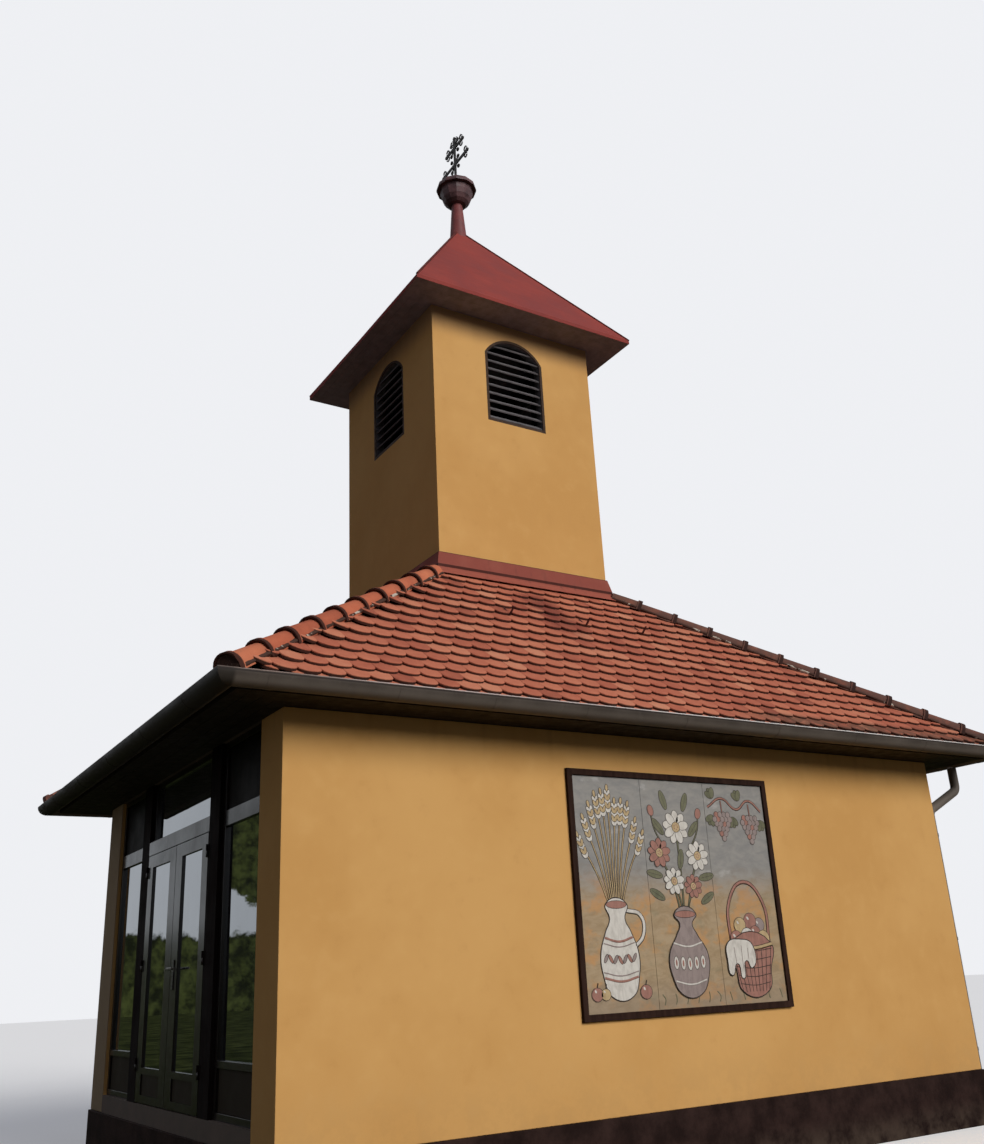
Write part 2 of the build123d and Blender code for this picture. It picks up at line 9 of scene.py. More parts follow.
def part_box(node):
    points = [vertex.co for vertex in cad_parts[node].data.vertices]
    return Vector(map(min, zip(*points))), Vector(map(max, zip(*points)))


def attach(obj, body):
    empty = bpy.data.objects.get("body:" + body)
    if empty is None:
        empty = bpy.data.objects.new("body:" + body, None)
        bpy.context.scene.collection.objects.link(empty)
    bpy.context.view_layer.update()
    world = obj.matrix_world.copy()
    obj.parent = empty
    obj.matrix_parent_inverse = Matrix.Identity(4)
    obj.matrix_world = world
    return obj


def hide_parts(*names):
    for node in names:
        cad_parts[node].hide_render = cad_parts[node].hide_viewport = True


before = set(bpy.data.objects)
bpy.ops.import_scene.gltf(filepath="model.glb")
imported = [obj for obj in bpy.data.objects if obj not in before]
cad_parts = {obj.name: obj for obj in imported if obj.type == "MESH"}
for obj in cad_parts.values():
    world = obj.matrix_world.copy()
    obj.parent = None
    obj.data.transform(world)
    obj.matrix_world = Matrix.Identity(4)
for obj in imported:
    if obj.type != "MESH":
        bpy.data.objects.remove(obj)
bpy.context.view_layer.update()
print("frame loaded:", len(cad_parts), "nodes")

# The photograph's viewing angle, solved from the walls, eaves and tower
photoView = {
    "place": (9.533, -6.16, 1.44),
    "yaw": 57.58,
    "pitch": 20.489,
    "roll": -2.863,
    "focalPixels": 1089.7,
    "longSidePixels": 1144,
    "sensor": 36.0,
}
studio = {
    "floorRadius": 90.0,
    "floorColour": (0.88, 0.87, 0.85),
    "floorGlow": (0.2, 0.2, 0.195),      # only the camera sees it
    "floorBounce": (0.155, 0.145, 0.108),  # what the floor sends back to the building
    "floorMirrored": ((0.02, 0.027, 0.008), (0.085, 0.1, 0.03)),
    "backdrop": (0.86, 0.87, 0.9),
    "ambient": (0.135, 0.149, 0.202),
    "mirroredSky": (0.6, 0.63, 0.67),
    "mirroredBand": ((0.012, 0.015, 0.006), (0.075, 0.092, 0.026)),
    "bandTop": 0.047,                      # sine of the height of the mirrored dark band
    "bandFade": 0.0025,
    "bandWobble": 0.045,
    "patchPlace": (0.368, 0.112),          # y over x and height of a dark patch in the mirrored sky
    "patchSize": (0.046, 0.044),
    "sunFrom": (1.0, 0.24, 0.5),
    "sunStrength": 3.05,
    "sunSpread": 32.0,
    "lampColour": (1.0, 0.985, 0.96),
    "fillFrom": (-0.5, -1.0, 0.55),
    "fillStrength": 0.05,
    "fillSpread": 60.0,
}


# Small tools for modelling

def pickNone():
    if bpy.context.mode != "OBJECT":
        bpy.ops.object.mode_set(mode="OBJECT")
    bpy.ops.object.select_all(action="DESELECT")


def pick(*objs):
    pickNone()
    for obj in objs:
        obj.select_set(True)
    bpy.context.view_layer.objects.active = objs[0]


def openMesh(obj):
    # with all of it selected
    pick(obj)
    bpy.ops.object.mode_set(mode="EDIT")
    bpy.ops.mesh.select_all(action="SELECT")


def closeMesh():
    bpy.ops.object.mode_set(mode="OBJECT")


def choose(obj, kind, wanted):
    # selects the verts, edges or faces of an open mesh that pass a test
    bpy.ops.mesh.select_mode(type=kind)
    bpy.ops.mesh.select_all(action="DESELECT")
    mesh = bmesh.from_edit_mesh(obj.data)
    parts = {"VERT": mesh.verts, "EDGE": mesh.edges, "FACE": mesh.faces}[kind]
    for part in parts:
        if wanted(part):
            part.select_set(True)
    bmesh.update_edit_mesh(obj.data)


def middle(part):
    # the middle of an edge or a face
    return sum((v.co for v in part.verts), Vector()) / len(part.verts)


def extrude(*step):
    bpy.ops.mesh.extrude_region_move(TRANSFORM_OT_translate={"value": step})


def swell(depth):
    bpy.ops.mesh.extrude_region_shrink_fatten(TRANSFORM_OT_shrink_fatten={"value": depth})


def turnOutwards():
    bpy.ops.mesh.select_all(action="SELECT")
    bpy.ops.mesh.normals_make_consistent(inside=False)


def applyModifiers(obj):
    pick(obj)
    for modifier in list(obj.modifiers):
        bpy.ops.object.modifier_apply(modifier=modifier.name)


def thicken(obj, thickness, offset=-1):
    wall = obj.modifiers.new("wall", "SOLIDIFY")
    wall.thickness = thickness
    wall.offset = offset
    applyModifiers(obj)


def settle(obj):
    # leaves the object at the origin, with its place in its mesh
    pick(obj)
    bpy.ops.object.transform_apply(location=True, rotation=True, scale=True)


def setDown(obj, matrix):
    obj.matrix_world = matrix
    settle(obj)
    return obj


def newSheet(width, length, place):
    # a flat rectangle about a place
    bpy.ops.mesh.primitive_plane_add(size=1)
    sheet = bpy.context.object
    sheet.scale = (width, length, 1)
    sheet.location = place
    settle(sheet)
    return sheet


def newRod(sides, radius, length, start, drop):
    # a cylinder along y
    bpy.ops.mesh.primitive_cylinder_add(
        vertices=sides, radius=radius, depth=length, location=(0, start + length / 2, -drop),
        rotation=(-math.pi / 2, 0, 0))
    settle(bpy.context.object)
    return bpy.context.object


def twinAt(obj, matrix):
    twin = obj.copy()
    twin.data = obj.data.copy()
    twin.matrix_world = matrix
    bpy.context.collection.objects.link(twin)
    return twin


def joined(objs, name):
    pick(*objs)
    if len(objs) > 1:
        bpy.ops.object.join()
    made = bpy.context.view_layer.objects.active
    settle(made)
    made.name = name
    made.data.name = name
    return made


def discard(obj):
    bpy.data.objects.remove(obj, do_unlink=True)


def marked(obj, name, values):
    # a number for each vertex, which the materials read
    attribute = obj.data.attributes.get(name) or obj.data.attributes.new(name, "FLOAT", "POINT")
    attribute.data.foreach_set("value", values)
    return obj


def markedAll(obj, name, value):
    return marked(obj, name, [value] * len(obj.data.vertices))


def dress(obj, paint, slotName, *replaced):
    # no paint is given where the parts of a joined piece carry their own
    if paint:
        obj.data.materials.clear()
        obj.data.materials.append(paint.material)
    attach(obj, "building")
    if replaced:
        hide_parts(*replaced)


def smoothed(obj, angle=35):
    pick(obj)
    bpy.ops.object.shade_smooth_by_angle(angle=math.radians(angle))
    return obj


def axes(x, y, z, place):
    made = Matrix((x, y, z)).transposed().to_4x4()
    made.translation = place
    return made


def outwardNormals(obj):
    openMesh(obj)
    bpy.ops.mesh.remove_doubles(threshold=0.00002)
    turnOutwards()
    closeMesh()
    return obj


def pointed(turn):
    # the way up, turned to the left by some degrees
    return Vector((-math.sin(math.radians(turn)), math.cos(math.radians(turn))))


def drawTone(dice, mean, spread):
    return min(1.0, max(0.0, dice.gauss(mean, spread)))


# Shader maths: a wire is one socket's output, and sums on it add the nodes

class Wire:
    def __init__(self, paint, socket):
        self.paint = paint
        self.socket = socket

    def __add__(self, other):
        return self.paint.maths("ADD", self, other)

    def __radd__(self, other):
        return self.paint.maths("ADD", other, self)

    def __sub__(self, other):
        return self.paint.maths("SUBTRACT", self, other)

    def __rsub__(self, other):
        return self.paint.maths("SUBTRACT", other, self)

    def __mul__(self, other):
        return self.paint.maths("MULTIPLY", self, other)

    def __rmul__(self, other):
        return self.paint.maths("MULTIPLY", other, self)

    def __truediv__(self, other):
        return self.paint.maths("DIVIDE", self, other)

    def __abs__(self):
        return self.paint.maths("ABSOLUTE", self)


class Paint:
    def __init__(self, name, constants=None, tree=None):
        if tree is None:
            self.material = bpy.data.materials.new(name)
            self.material.use_nodes = True
            tree = self.material.node_tree
            self.shader = tree.nodes["Principled BSDF"]
            for socket, value in (constants or {}).items():
                self.plug(value, self.shader.inputs[socket])
        self.tree = tree

    def plug(self, value, socket):
        if isinstance(value, Wire):
            self.tree.links.new(value.socket, socket)
        elif isinstance(value, tuple) and len(value) == 3 and len(socket.default_value) == 4:
            socket.default_value = (*value, 1.0)
        else:
            socket.default_value = value

    def node(self, kind, settings, values, output=0):
        made = self.tree.nodes.new(kind)
        for key, value in settings.items():
            if key == "stops":
                ramp = made.color_ramp
                while len(ramp.elements) > 1:
                    ramp.elements.remove(ramp.elements[-1])
                for i, (place, colour) in enumerate(value):
                    stop = ramp.elements[0] if i == 0 else ramp.elements.new(place)
                    stop.position = place
                    stop.color = (*colour, 1.0)
            else:
                setattr(made, key, value)
        for key, value in values.items():
            self.plug(value, made.inputs[key])
        return Wire(self, made.outputs[output])

    def maths(self, operation, *values):
        return self.node("ShaderNodeMath", {"operation": operation}, dict(enumerate(values)))

    def place(self):
        if not hasattr(self, "placeWire"):
            self.placeWire = self.node("ShaderNodeTexCoord", {}, {}, "Object")
        return self.placeWire

    def split(self, vector=None):
        # the x, y and z of a place
        parts = self.node("ShaderNodeSeparateXYZ", {}, {0: vector or self.place()})
        return [Wire(self, socket) for socket in parts.socket.node.outputs]

    def height(self):
        return self.split()[2]

    def ray(self, kind):
        return self.node("ShaderNodeLightPath", {}, {}, kind)

    def stretched(self, factors):
        return self.node("ShaderNodeVectorMath", {"operation": "MULTIPLY"}, {0: self.place(), 1: factors})

    def noise(self, scale, detail=3.0, roughness=0.55, factors=None, twist=0.0):
        vector = self.stretched(factors) if factors else self.place()
        return self.node("ShaderNodeTexNoise", {},
                         {"Vector": vector, "Scale": scale, "Detail": detail,
                          "Roughness": roughness, "Distortion": twist}, "Fac")

    def cells(self, scale):
        return self.node("ShaderNodeTexVoronoi", {}, {"Vector": self.place(), "Scale": scale}, "Distance")

    def between(self, wire, low, high, start=0.0, end=1.0):
        # 0 below low, 1 above high, and smooth in between
        return self.node("ShaderNodeMapRange", {"interpolation_type": "SMOOTHSTEP"},
                         {"Value": wire, "From Min": low, "From Max": high,
                          "To Min": start, "To Max": end})

    def attribute(self, name):
        return self.node("ShaderNodeAttribute", {"attribute_name": name}, {}, "Fac")

    def ramp(self, wire, stops):
        return self.node("ShaderNodeValToRGB", {"stops": stops}, {0: wire})

    def mix(self, a, b, factor):
        # the inputs and the output for colours go by number, because their names repeat
        return self.node("ShaderNodeMix", {"data_type": "RGBA"}, {0: factor, 6: a, 7: b}, 2)

    def layer(self, under, over, wire, low, high, strength=None):
        # one colour over another where a wire goes from low to high
        mask = self.between(wire, low, high)
        return self.mix(under, over, mask * strength if strength else mask)

    def bump(self, height, distance, strength):
        return self.node("ShaderNodeBump", {},
                         {"Height": height, "Distance": distance, "Strength": strength})

    def finished(self, colour, rough, relief):
        # rough is a wire and the two values that the roughness takes, relief is what bump asks for
        wire, low, high = rough
        return self.use(colour=colour, roughness=self.between(wire, 0.3, 0.7, low, high),
                        normal=self.bump(*relief))

    def use(self, **wires):
        names = {"colour": "Base Color", "roughness": "Roughness", "metallic": "Metallic",
                 "normal": "Normal", "coat": "Coat Weight", "glow": "Emission Color"}
        for key, wire in wires.items():
            self.plug(wire, self.shader.inputs[names[key]])
        return self


# Sizes that the pieces take from the frame

sideNames = ("front", "right", "back", "left")
outwardOf = {
    "front": Vector((0, -1, 0)),
    "right": Vector((1, 0, 0)),
    "back": Vector((0, 1, 0)),
    "left": Vector((-1, 0, 0)),
}
up = Vector((0, 0, 1))
tileEdgeThickness = 0.045
leverHeight = 1.64
stainY = -0.47          # middle of the stain on the right slope
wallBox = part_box("right_wall")
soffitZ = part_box("eaves_right")[0].z
towerLow = Vector((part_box("tower_left_wall")[0].x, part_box("tower_front_wall")[0].y, 0))
towerHigh = Vector((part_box("tower_right_wall")[1].x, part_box("tower_back_wall")[1].y, 0))
towerMiddle = (towerLow + towerHigh) / 2
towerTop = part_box("tower_right_wall")[1].z
tilesLow = Vector((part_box("roof_left")[0].x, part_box("roof_front")[0].y, 0))
tilesHigh = Vector((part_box("roof_right")[1].x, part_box("roof_back")[1].y, 0))
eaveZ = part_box("roof_right")[0].z + tileEdgeThickness
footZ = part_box("roof_right")[1].z
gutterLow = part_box("gutter_left")[0]
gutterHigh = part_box("gutter_right")[1]


def towerDepth(paint):
    # how far a place lies behind the tower's faces
    x, y = paint.split()[:2]
    half = (towerHigh - towerLow) / 2
    return paint.maths("MINIMUM", half.x - abs(x), half.y - abs(y - towerMiddle.y))


def corner(low, high, x, y, z):
    # a corner of a plan, picked by the signs of x and y
    return Vector((high.x if x > 0 else low.x, high.y if y > 0 else low.y, z))


def slopeOf(side):
    # the four corners of a tiled plane and its own axes: along the eaves, up the slope, off it
    outward = outwardOf[side]
    along = up.cross(outward)
    signs = [outward - along, outward + along]
    eave = [corner(tilesLow, tilesHigh, s.x, s.y, eaveZ) for s in signs]
    foot = [corner(towerLow, towerHigh, s.x, s.y, footZ) for s in signs]
    run = (eave[0] - foot[0]).dot(outward)
    rise = footZ - eaveZ
    length = math.hypot(run, rise)
    climb = (up * rise - outward * run) / length
    off = along.cross(climb)
    place = outward * eave[0].dot(outward) + up * eaveZ
    return {
        "outward": outward,
        "matrix": axes(along, climb, off, place),
        "eave": eave,
        "foot": foot,
        "length": length,
        "from": eave[0].dot(along),
        "to": eave[1].dot(along),
        "fromTop": foot[0].dot(along),
        "toTop": foot[1].dot(along),
    }


def makeCamera():
    yaw, pitch, roll = (math.radians(photoView[key]) for key in ("yaw", "pitch", "roll"))
    forward = Vector((-math.sin(yaw) * math.cos(pitch), math.cos(yaw) * math.cos(pitch),
                      math.sin(pitch)))
    level = Vector((math.cos(yaw), math.sin(yaw), 0))
    lift = level.cross(forward)
    right = math.cos(roll) * level + math.sin(roll) * lift
    top = math.cos(roll) * lift - math.sin(roll) * level
    camera = bpy.data.objects.new("camera", bpy.data.cameras.new("camera"))
    bpy.context.collection.objects.link(camera)
    camera.matrix_world = axes(right, top, -forward, photoView["place"])
    camera.data.sensor_width = photoView["sensor"]
    camera.data.lens = photoView["focalPixels"] / photoView["longSidePixels"] * photoView["sensor"]
    camera.data.clip_end = 400
    bpy.context.scene.camera = camera


def makeLamp(name, source, strength, spread):
    lamp = bpy.data.objects.new(name, bpy.data.lights.new(name, "SUN"))
    bpy.context.collection.objects.link(lamp)
    lamp.rotation_euler = Vector(source).to_track_quat("Z", "Y").to_euler()
    lamp.data.energy = strength
    lamp.data.angle = math.radians(spread)
    lamp.data.color = studio["lampColour"]


def makeStudio():
    makeLamp("sun", studio["sunFrom"], studio["sunStrength"], studio["sunSpread"])
    makeLamp("fill", studio["fillFrom"], studio["fillStrength"], studio["fillSpread"])
    world = bpy.data.worlds.new("sky")
    world.use_nodes = True
    bpy.context.scene.world = world
    sky = Paint("sky", tree=world.node_tree)
    direction = sky.node("ShaderNodeTexCoord", {}, {}, "Generated")
    sky.placeWire = direction
    x, y, height = sky.split(direction)
    tops = (sky.noise(26.0, 6, 0.68) - 0.5) * studio["bandWobble"]
    overBand = sky.between(height + tops, studio["bandTop"] - studio["bandFade"],
                            studio["bandTop"] + studio["bandFade"])
    band = sky.mix(*studio["mirroredBand"], sky.between(sky.noise(75.0, 5, 0.7), 0.38, 0.68))
    aside, above = (wire / size - place / size for wire, place, size in zip(
        (y / x, height), studio["patchPlace"], studio["patchSize"]))
    fromPatch = aside * aside + above * above + (sky.noise(34.0, 5, 0.7) - 0.5) * 1.9
    mirrored = sky.mix(studio["mirroredSky"], band, sky.between(fromPatch, 1.08, 0.92))
    mirrored = sky.mix(band, mirrored, overBand)
    seen = sky.mix(studio["ambient"], mirrored, sky.ray("Is Glossy Ray"))
    seen = sky.mix(seen, studio["backdrop"], sky.ray("Is Camera Ray"))
    sky.plug(seen, world.node_tree.nodes["Background"].inputs["Color"])

    bpy.ops.mesh.primitive_circle_add(vertices=96, radius=studio["floorRadius"], fill_type="NGON")
    floor = bpy.context.object
    floor.name = "floor"
    paint = Paint("paleFloor", {"Roughness": 0.9, "Specular IOR Level": 0.0, "Emission Strength": 1.0})
    camera = paint.ray("Is Camera Ray")
    seen = paint.mix(studio["floorColour"], tuple(c * 0.95 for c in studio["floorColour"]),
                     paint.noise(0.6, 3))
    beds = paint.mix(*studio["floorMirrored"], paint.between(paint.noise(1.1, 5, 0.65), 0.36, 0.66))
    colour = paint.mix(studio["floorBounce"], beds, paint.ray("Is Glossy Ray"))
    paint.use(colour=paint.mix(colour, seen, camera),
              glow=paint.mix((0.0, 0.0, 0.0), studio["floorGlow"], camera))
    floor.data.materials.append(paint.material)
    bpy.context.scene.view_settings.view_transform = "Standard"


makeCamera()
makeStudio()
print("camera and studio made")


# Materials

def ochreRender():
    # painted lime render: floated in wide sweeps, soiled near the ground and under the eaves, with painted
    # shade under the tower's eaves, inside the tower and on the left wall's end
    paint = Paint("ochreRender", {"Specular IOR Level": 0.12})
    x, y, z = paint.split()
    sweeps = paint.noise(0.75, 4, 0.6)
    mottle = paint.noise(6.0, 4, 0.62)
    grain = paint.noise(230.0, 2, 0.6)
    runs = paint.noise(7.0, 3, 0.5, factors=(1.0, 1.0, 0.07))
    colour = paint.layer((0.52, 0.278, 0.088), (0.575, 0.322, 0.11), sweeps, 0.32, 0.68)
    colour = paint.layer(colour, (0.6, 0.35, 0.13), mottle, 0.5, 0.78, 0.26)
    colour = paint.layer(colour, (0.45, 0.232, 0.07), mottle, 0.44, 0.22, 0.26)
    foot = paint.between(z, 1.05, 0.42) * paint.between(mottle, 0.25, 0.7)
    colour = paint.mix(colour, (0.33, 0.18, 0.066), foot * 0.3)
    under = paint.between(z, soffitZ - 0.35, soffitZ) * paint.between(z, soffitZ + 0.3, soffitZ)
    high = paint.between(z, towerTop - 0.45, towerTop)
    streaks = paint.between(runs, 0.5, 0.72) * (under + high)
    colour = paint.mix(colour, (0.33, 0.175, 0.06), streaks * 0.3)
    # painted shade: darker down from the tops of the tower's walls, under the tower's eaves
    colour = paint.layer(colour, (0.2, 0.125, 0.075), z, towerTop - 0.36, towerTop - 0.04, 0.7)
    colour = paint.layer(colour, (0.3, 0.15, 0.05), paint.cells(85.0), 0.16, 0.05, 0.14)
    # painted shade: the brick and boards inside the tower, painted near black as if unlit
    inside = paint.between(towerDepth(paint), 0.105, 0.12)
    inside = inside * paint.between(z, soffitZ + 0.15, soffitZ + 0.17)
    colour = paint.mix(colour, (0.012, 0.01, 0.009), inside)
    # painted shade: the end of the left wall, greyer and darker, under the deepest shade of the eaves
    front = wallBox[0].y
    jamb = paint.between(x, -1.95, -2.02) * paint.between(y, front + 0.011, front + 0.005)
    jamb = jamb * paint.between(z, soffitZ + 0.01, soffitZ - 0.01)
    colour = paint.mix(colour, (0.32, 0.245, 0.155), jamb * 0.9)
    relief = grain * 0.35 + mottle * 1.2 + sweeps * 2.0
    return paint.finished(colour, (mottle, 0.82, 0.95), (relief, 0.0022, 0.55))


def darkPlinth():
    paint = Paint("darkPlinth", {"Specular IOR Level": 0.05})
    z = paint.height()
    mottle = paint.noise(5.0, 5, 0.62)
    grit = paint.noise(140.0, 2)
    colour = paint.layer((0.012, 0.006, 0.005), (0.032, 0.017, 0.014), mottle, 0.3, 0.72)
    splash = paint.between(z, 0.26, 0.0) * paint.between(mottle, 0.3, 0.6)
    colour = paint.mix(colour, (0.095, 0.072, 0.052), splash * 0.4)
    return paint.finished(colour, (grit, 0.62, 0.9), (grit * 0.6 + mottle, 0.003, 0.6))


def greyConcrete():
    paint = Paint("greyConcrete", {"Specular IOR Level": 0.25})
    mottle = paint.noise(3.0, 6, 0.62)
    pits = paint.between(paint.cells(60.0), 0.12, 0.03)
    colour = paint.layer((0.075, 0.056, 0.044), (0.133, 0.099, 0.078), mottle, 0.3, 0.7)
    colour = paint.mix(colour, (0.045, 0.036, 0.03), pits * 0.5)
    return paint.finished(colour, (mottle, 0.7, 0.92), (mottle - pits * 0.4, 0.002, 0.5))


def stainedBoards(name, dark, light, board, roughness, joints=0.85, ringed=True):
    # boards that follow the walls round, so their joints are rings about the plan
    paint = Paint(name, {"Specular IOR Level": 0.12})
    x, y = paint.split()[:2]
    if ringed:
        halfDepth = (wallBox[1].y - wallBox[0].y) / 2
        across = paint.maths("MAXIMUM", abs(x) - wallBox[1].x,
                             abs(y - (wallBox[0].y + halfDepth)) - halfDepth)
    else:
        across = paint.maths("MAXIMUM", abs(x), abs(y - towerMiddle.y))
    grain = paint.noise(9.0, 5, 0.65, factors=(1.0, 1.0, 14.0), twist=0.4)
    strands = paint.noise(70.0, 3, 0.6, factors=(0.12, 0.12, 1.0))
    fold = paint.maths("FRACT", across / board)
    joint = paint.between(abs(fold - 0.5), 0.455, 0.49)
    tone = paint.noise(0.9, 1, 0.5)
    colour = paint.mix(dark, light, paint.between(grain, 0.28, 0.72) * 0.6 + tone * 0.3)
    colour = paint.mix(colour, tuple(c * 0.2 for c in dark), joint * joints)
    relief = grain * 0.3 + strands * 0.3 - joint * (joints * 1.9)
    return paint.use(colour=colour, normal=paint.bump(relief, 0.003, 0.7),
                     roughness=paint.between(strands, 0.3, 0.7, roughness, roughness + 0.22))


def brownGutter():
    # coated sheet, weathered dull, with run marks; painted light and shade: paler towards the underside, a
    # painted highlight along the lip over a painted shade line, and painted shade darkening the front run
    paint = Paint("brownGutter", {"Specular IOR Level": 0.15})
    y, z = paint.split()[1:]
    top = gutterHigh.z
    dull = paint.noise(2.4, 5, 0.6)
    runs = paint.noise(16.0, 3, 0.55, factors=(1.0, 1.0, 0.12))
    specks = paint.noise(95.0, 2, 0.6)
    colour = paint.layer((0.046, 0.036, 0.029), (0.078, 0.062, 0.05), dull, 0.3, 0.72)
    colour = paint.layer(colour, (0.11, 0.091, 0.076), runs, 0.52, 0.76, 0.35)
    # painted light: paler towards the gutter's underside, so that its shaded round reads flat
    colour = paint.layer(colour, (0.19, 0.158, 0.132), z, top - 0.03, gutterLow.z + 0.02, 0.55)
    colour = paint.layer(colour, (0.028, 0.022, 0.018), specks, 0.62, 0.76, 0.4)
    # painted shade: the front gutter, on the shaded side, is darkened
    colour = paint.layer(colour, (0.02, 0.016, 0.013), y, -3.95, -3.985, 0.85)
    # painted shade: a dark line under the rolled lip
    colour = paint.layer(colour, (0.018, 0.012, 0.01), abs(z - (top - 0.016)), 0.007, 0.004, 0.85)
    # painted highlight along the lip, fainter at the front and brighter towards the back
    lip = paint.between(z, top - 0.009, top - 0.006) * paint.between(y, -4.0, -3.9, 0.35, 1.0)
    paleEdge = paint.mix((0.2, 0.145, 0.125), (0.43, 0.345, 0.32), paint.between(y, -3.6, -2.6))
    paleEdge = paint.mix(paleEdge, (0.58, 0.545, 0.52), paint.between(y, -2.2, 0.6))
    colour = paint.mix(colour, paleEdge, lip * paint.between(dull, 0.2, 0.5, 0.8, 1.0))
    return paint.use(colour=colour, metallic=paint.between(runs, 0.4, 0.8, 0.0, 0.08),
                     roughness=paint.between(dull, 0.3, 0.7, 0.5, 0.7),
                     normal=paint.bump(dull + specks * 0.2, 0.0015, 0.4))


def salmonFlashing():
    # painted sheet: the upstand is darker, and the apron has faded to salmon
    paint = Paint("salmonFlashing", {"Specular IOR Level": 0.08})
    z = paint.height()
    chalk = paint.noise(3.5, 5, 0.6)
    streak = paint.noise(20.0, 3, 0.5, factors=(1.0, 1.0, 0.15))
    colour = paint.layer((0.3, 0.082, 0.055), (0.225, 0.058, 0.042), z, footZ + 0.012, footZ + 0.02)
    colour = paint.layer(colour, (0.28, 0.092, 0.066), chalk, 0.45, 0.75, 0.45)
    colour = paint.layer(colour, (0.13, 0.045, 0.036), streak, 0.55, 0.8, 0.5)
    # painted shadow: a dark line under the upstand's folded foot
    colour = paint.layer(colour, (0.035, 0.01, 0.008), abs(z - (footZ - 0.004)), 0.02, 0.012, 0.9)
    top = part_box("tower_flashing")[1].z
    colour = paint.layer(colour, (0.07, 0.028, 0.022), z, top - 0.01, top - 0.004, 0.75)
    return paint.finished(colour, (chalk, 0.62, 0.85), (chalk + streak * 0.4, 0.002, 0.5))


def redSheet():
    # painted sheet on boards: level strips lapped up the slope, with rubbed and rusted places
    paint = Paint("redSheet", {"Specular IOR Level": 0.12})
    z = paint.height()
    stripHeight = 0.235
    patches = paint.noise(1.6, 5, 0.62)
    level = paint.noise(5.0, 4, 0.6, factors=(0.5, 0.5, 5.0))
    fine = paint.noise(60.0, 3, 0.6, factors=(1.0, 1.0, 2.0))
    colour = paint.layer((0.185, 0.032, 0.027), (0.258, 0.049, 0.039), patches, 0.3, 0.7)
    colour = paint.layer(colour, (0.3, 0.075, 0.059), level, 0.56, 0.78, 0.4)
    colour = paint.layer(colour, (0.11, 0.026, 0.022), level, 0.42, 0.24, 0.45)
    strip = paint.maths("FRACT", z / stripHeight + paint.noise(0.8, 1) * 0.12)
    lap = paint.between(strip, 0.035, 0.01)
    colour = paint.mix(colour, (0.085, 0.02, 0.018), lap * 0.4)
    rust = paint.between(fine, 0.62, 0.8) * paint.between(patches, 0.55, 0.75)
    colour = paint.mix(colour, (0.12, 0.048, 0.022), rust * 0.5)
    return paint.finished(colour, (patches, 0.66, 0.85),
                          (patches * 1.5 + strip * 0.35 + fine * 0.15, 0.004, 0.5))


def glossPaint(name, dark, light, roughness, metallic=0.0, scale=6.0, specular=0.3):
    # brushed-on paint with drag marks, chips and dull patches
    paint = Paint(name, {"Metallic": metallic, "Specular IOR Level": specular})
    patches = paint.noise(scale, 5, 0.62)
    drags = paint.noise(scale * 9, 3, 0.55, factors=(1.0, 1.0, 0.18))
    chips = paint.between(paint.noise(scale * 22, 3, 0.6), 0.66, 0.74)
    colour = paint.layer(dark, light, patches, 0.3, 0.72)
    colour = paint.layer(colour, tuple(c * 0.45 for c in dark), drags, 0.56, 0.8, 0.4)
    colour = paint.mix(colour, (0.075, 0.04, 0.024), chips * 0.55)
    return paint.use(colour=colour, roughness=paint.between(patches, 0.3, 0.7, roughness, roughness + 0.2),
                     normal=paint.bump(drags * 0.5 + patches - chips, 0.001, 0.5))


def darkJoinery(name, dark, light, roughness, gloss=0.0, specular=0.1, foot=None):
    # stained timber, varnished where gloss is given: long grain up the stiles, with paler rubbed edges
    paint = Paint(name, {"Specular IOR Level": specular, "Coat Roughness": 0.16})
    grain = paint.noise(26.0, 5, 0.62, factors=(1.0, 1.0, 0.07), twist=0.5)
    pores = paint.noise(190.0, 2, 0.6, factors=(1.0, 1.0, 0.05))
    patches = paint.noise(2.2, 4, 0.6)
    colour = paint.layer(dark, light, grain, 0.32, 0.72)
    colour = paint.layer(colour, tuple(c * 1.9 for c in light), patches, 0.56, 0.8, 0.35)
    colour = paint.layer(colour, tuple(c * 0.4 for c in dark), pores, 0.6, 0.74, 0.5)
    if foot:                  # paler below knee height
        colour = paint.mix(colour, foot, paint.between(paint.height(), 1.3, 0.95))
    return paint.use(colour=colour, roughness=paint.between(patches, 0.3, 0.7, roughness, roughness + 0.18),
                     coat=paint.between(patches, 0.7, 0.35, gloss * 0.85, gloss),
                     normal=paint.bump(grain * 0.7 + pores * 0.4, 0.0012, 0.5))


def doubleGlazing():
    # dark room behind, bright surroundings in front, and a film that thickens downwards: dust, and a
    # painted darker reflection towards the bottom
    paint = Paint("doubleGlazing", {"Specular IOR Level": 0.5, "IOR": 1.52})
    z = paint.height()
    dust = paint.noise(4.0, 4, 0.6)
    wipes = paint.noise(11.0, 3, 0.5, factors=(1.0, 1.0, 0.3))
    # dust and a painted darker reflection, both growing towards the bottom
    film = paint.between(dust, 0.42, 0.75) * paint.between(z, 2.2, 0.9, 0.25, 1.0)
    colour = paint.mix((0.36, 0.375, 0.39), (0.3, 0.31, 0.31), film * 0.4)
    return paint.use(colour=colour, metallic=paint.between(dust, 0.3, 0.8, 0.97, 0.92),
                     roughness=paint.between(wipes, 0.35, 0.75, 0.003, 0.02),
                     normal=paint.bump(paint.noise(1.7, 1), 0.0012, 0.25))


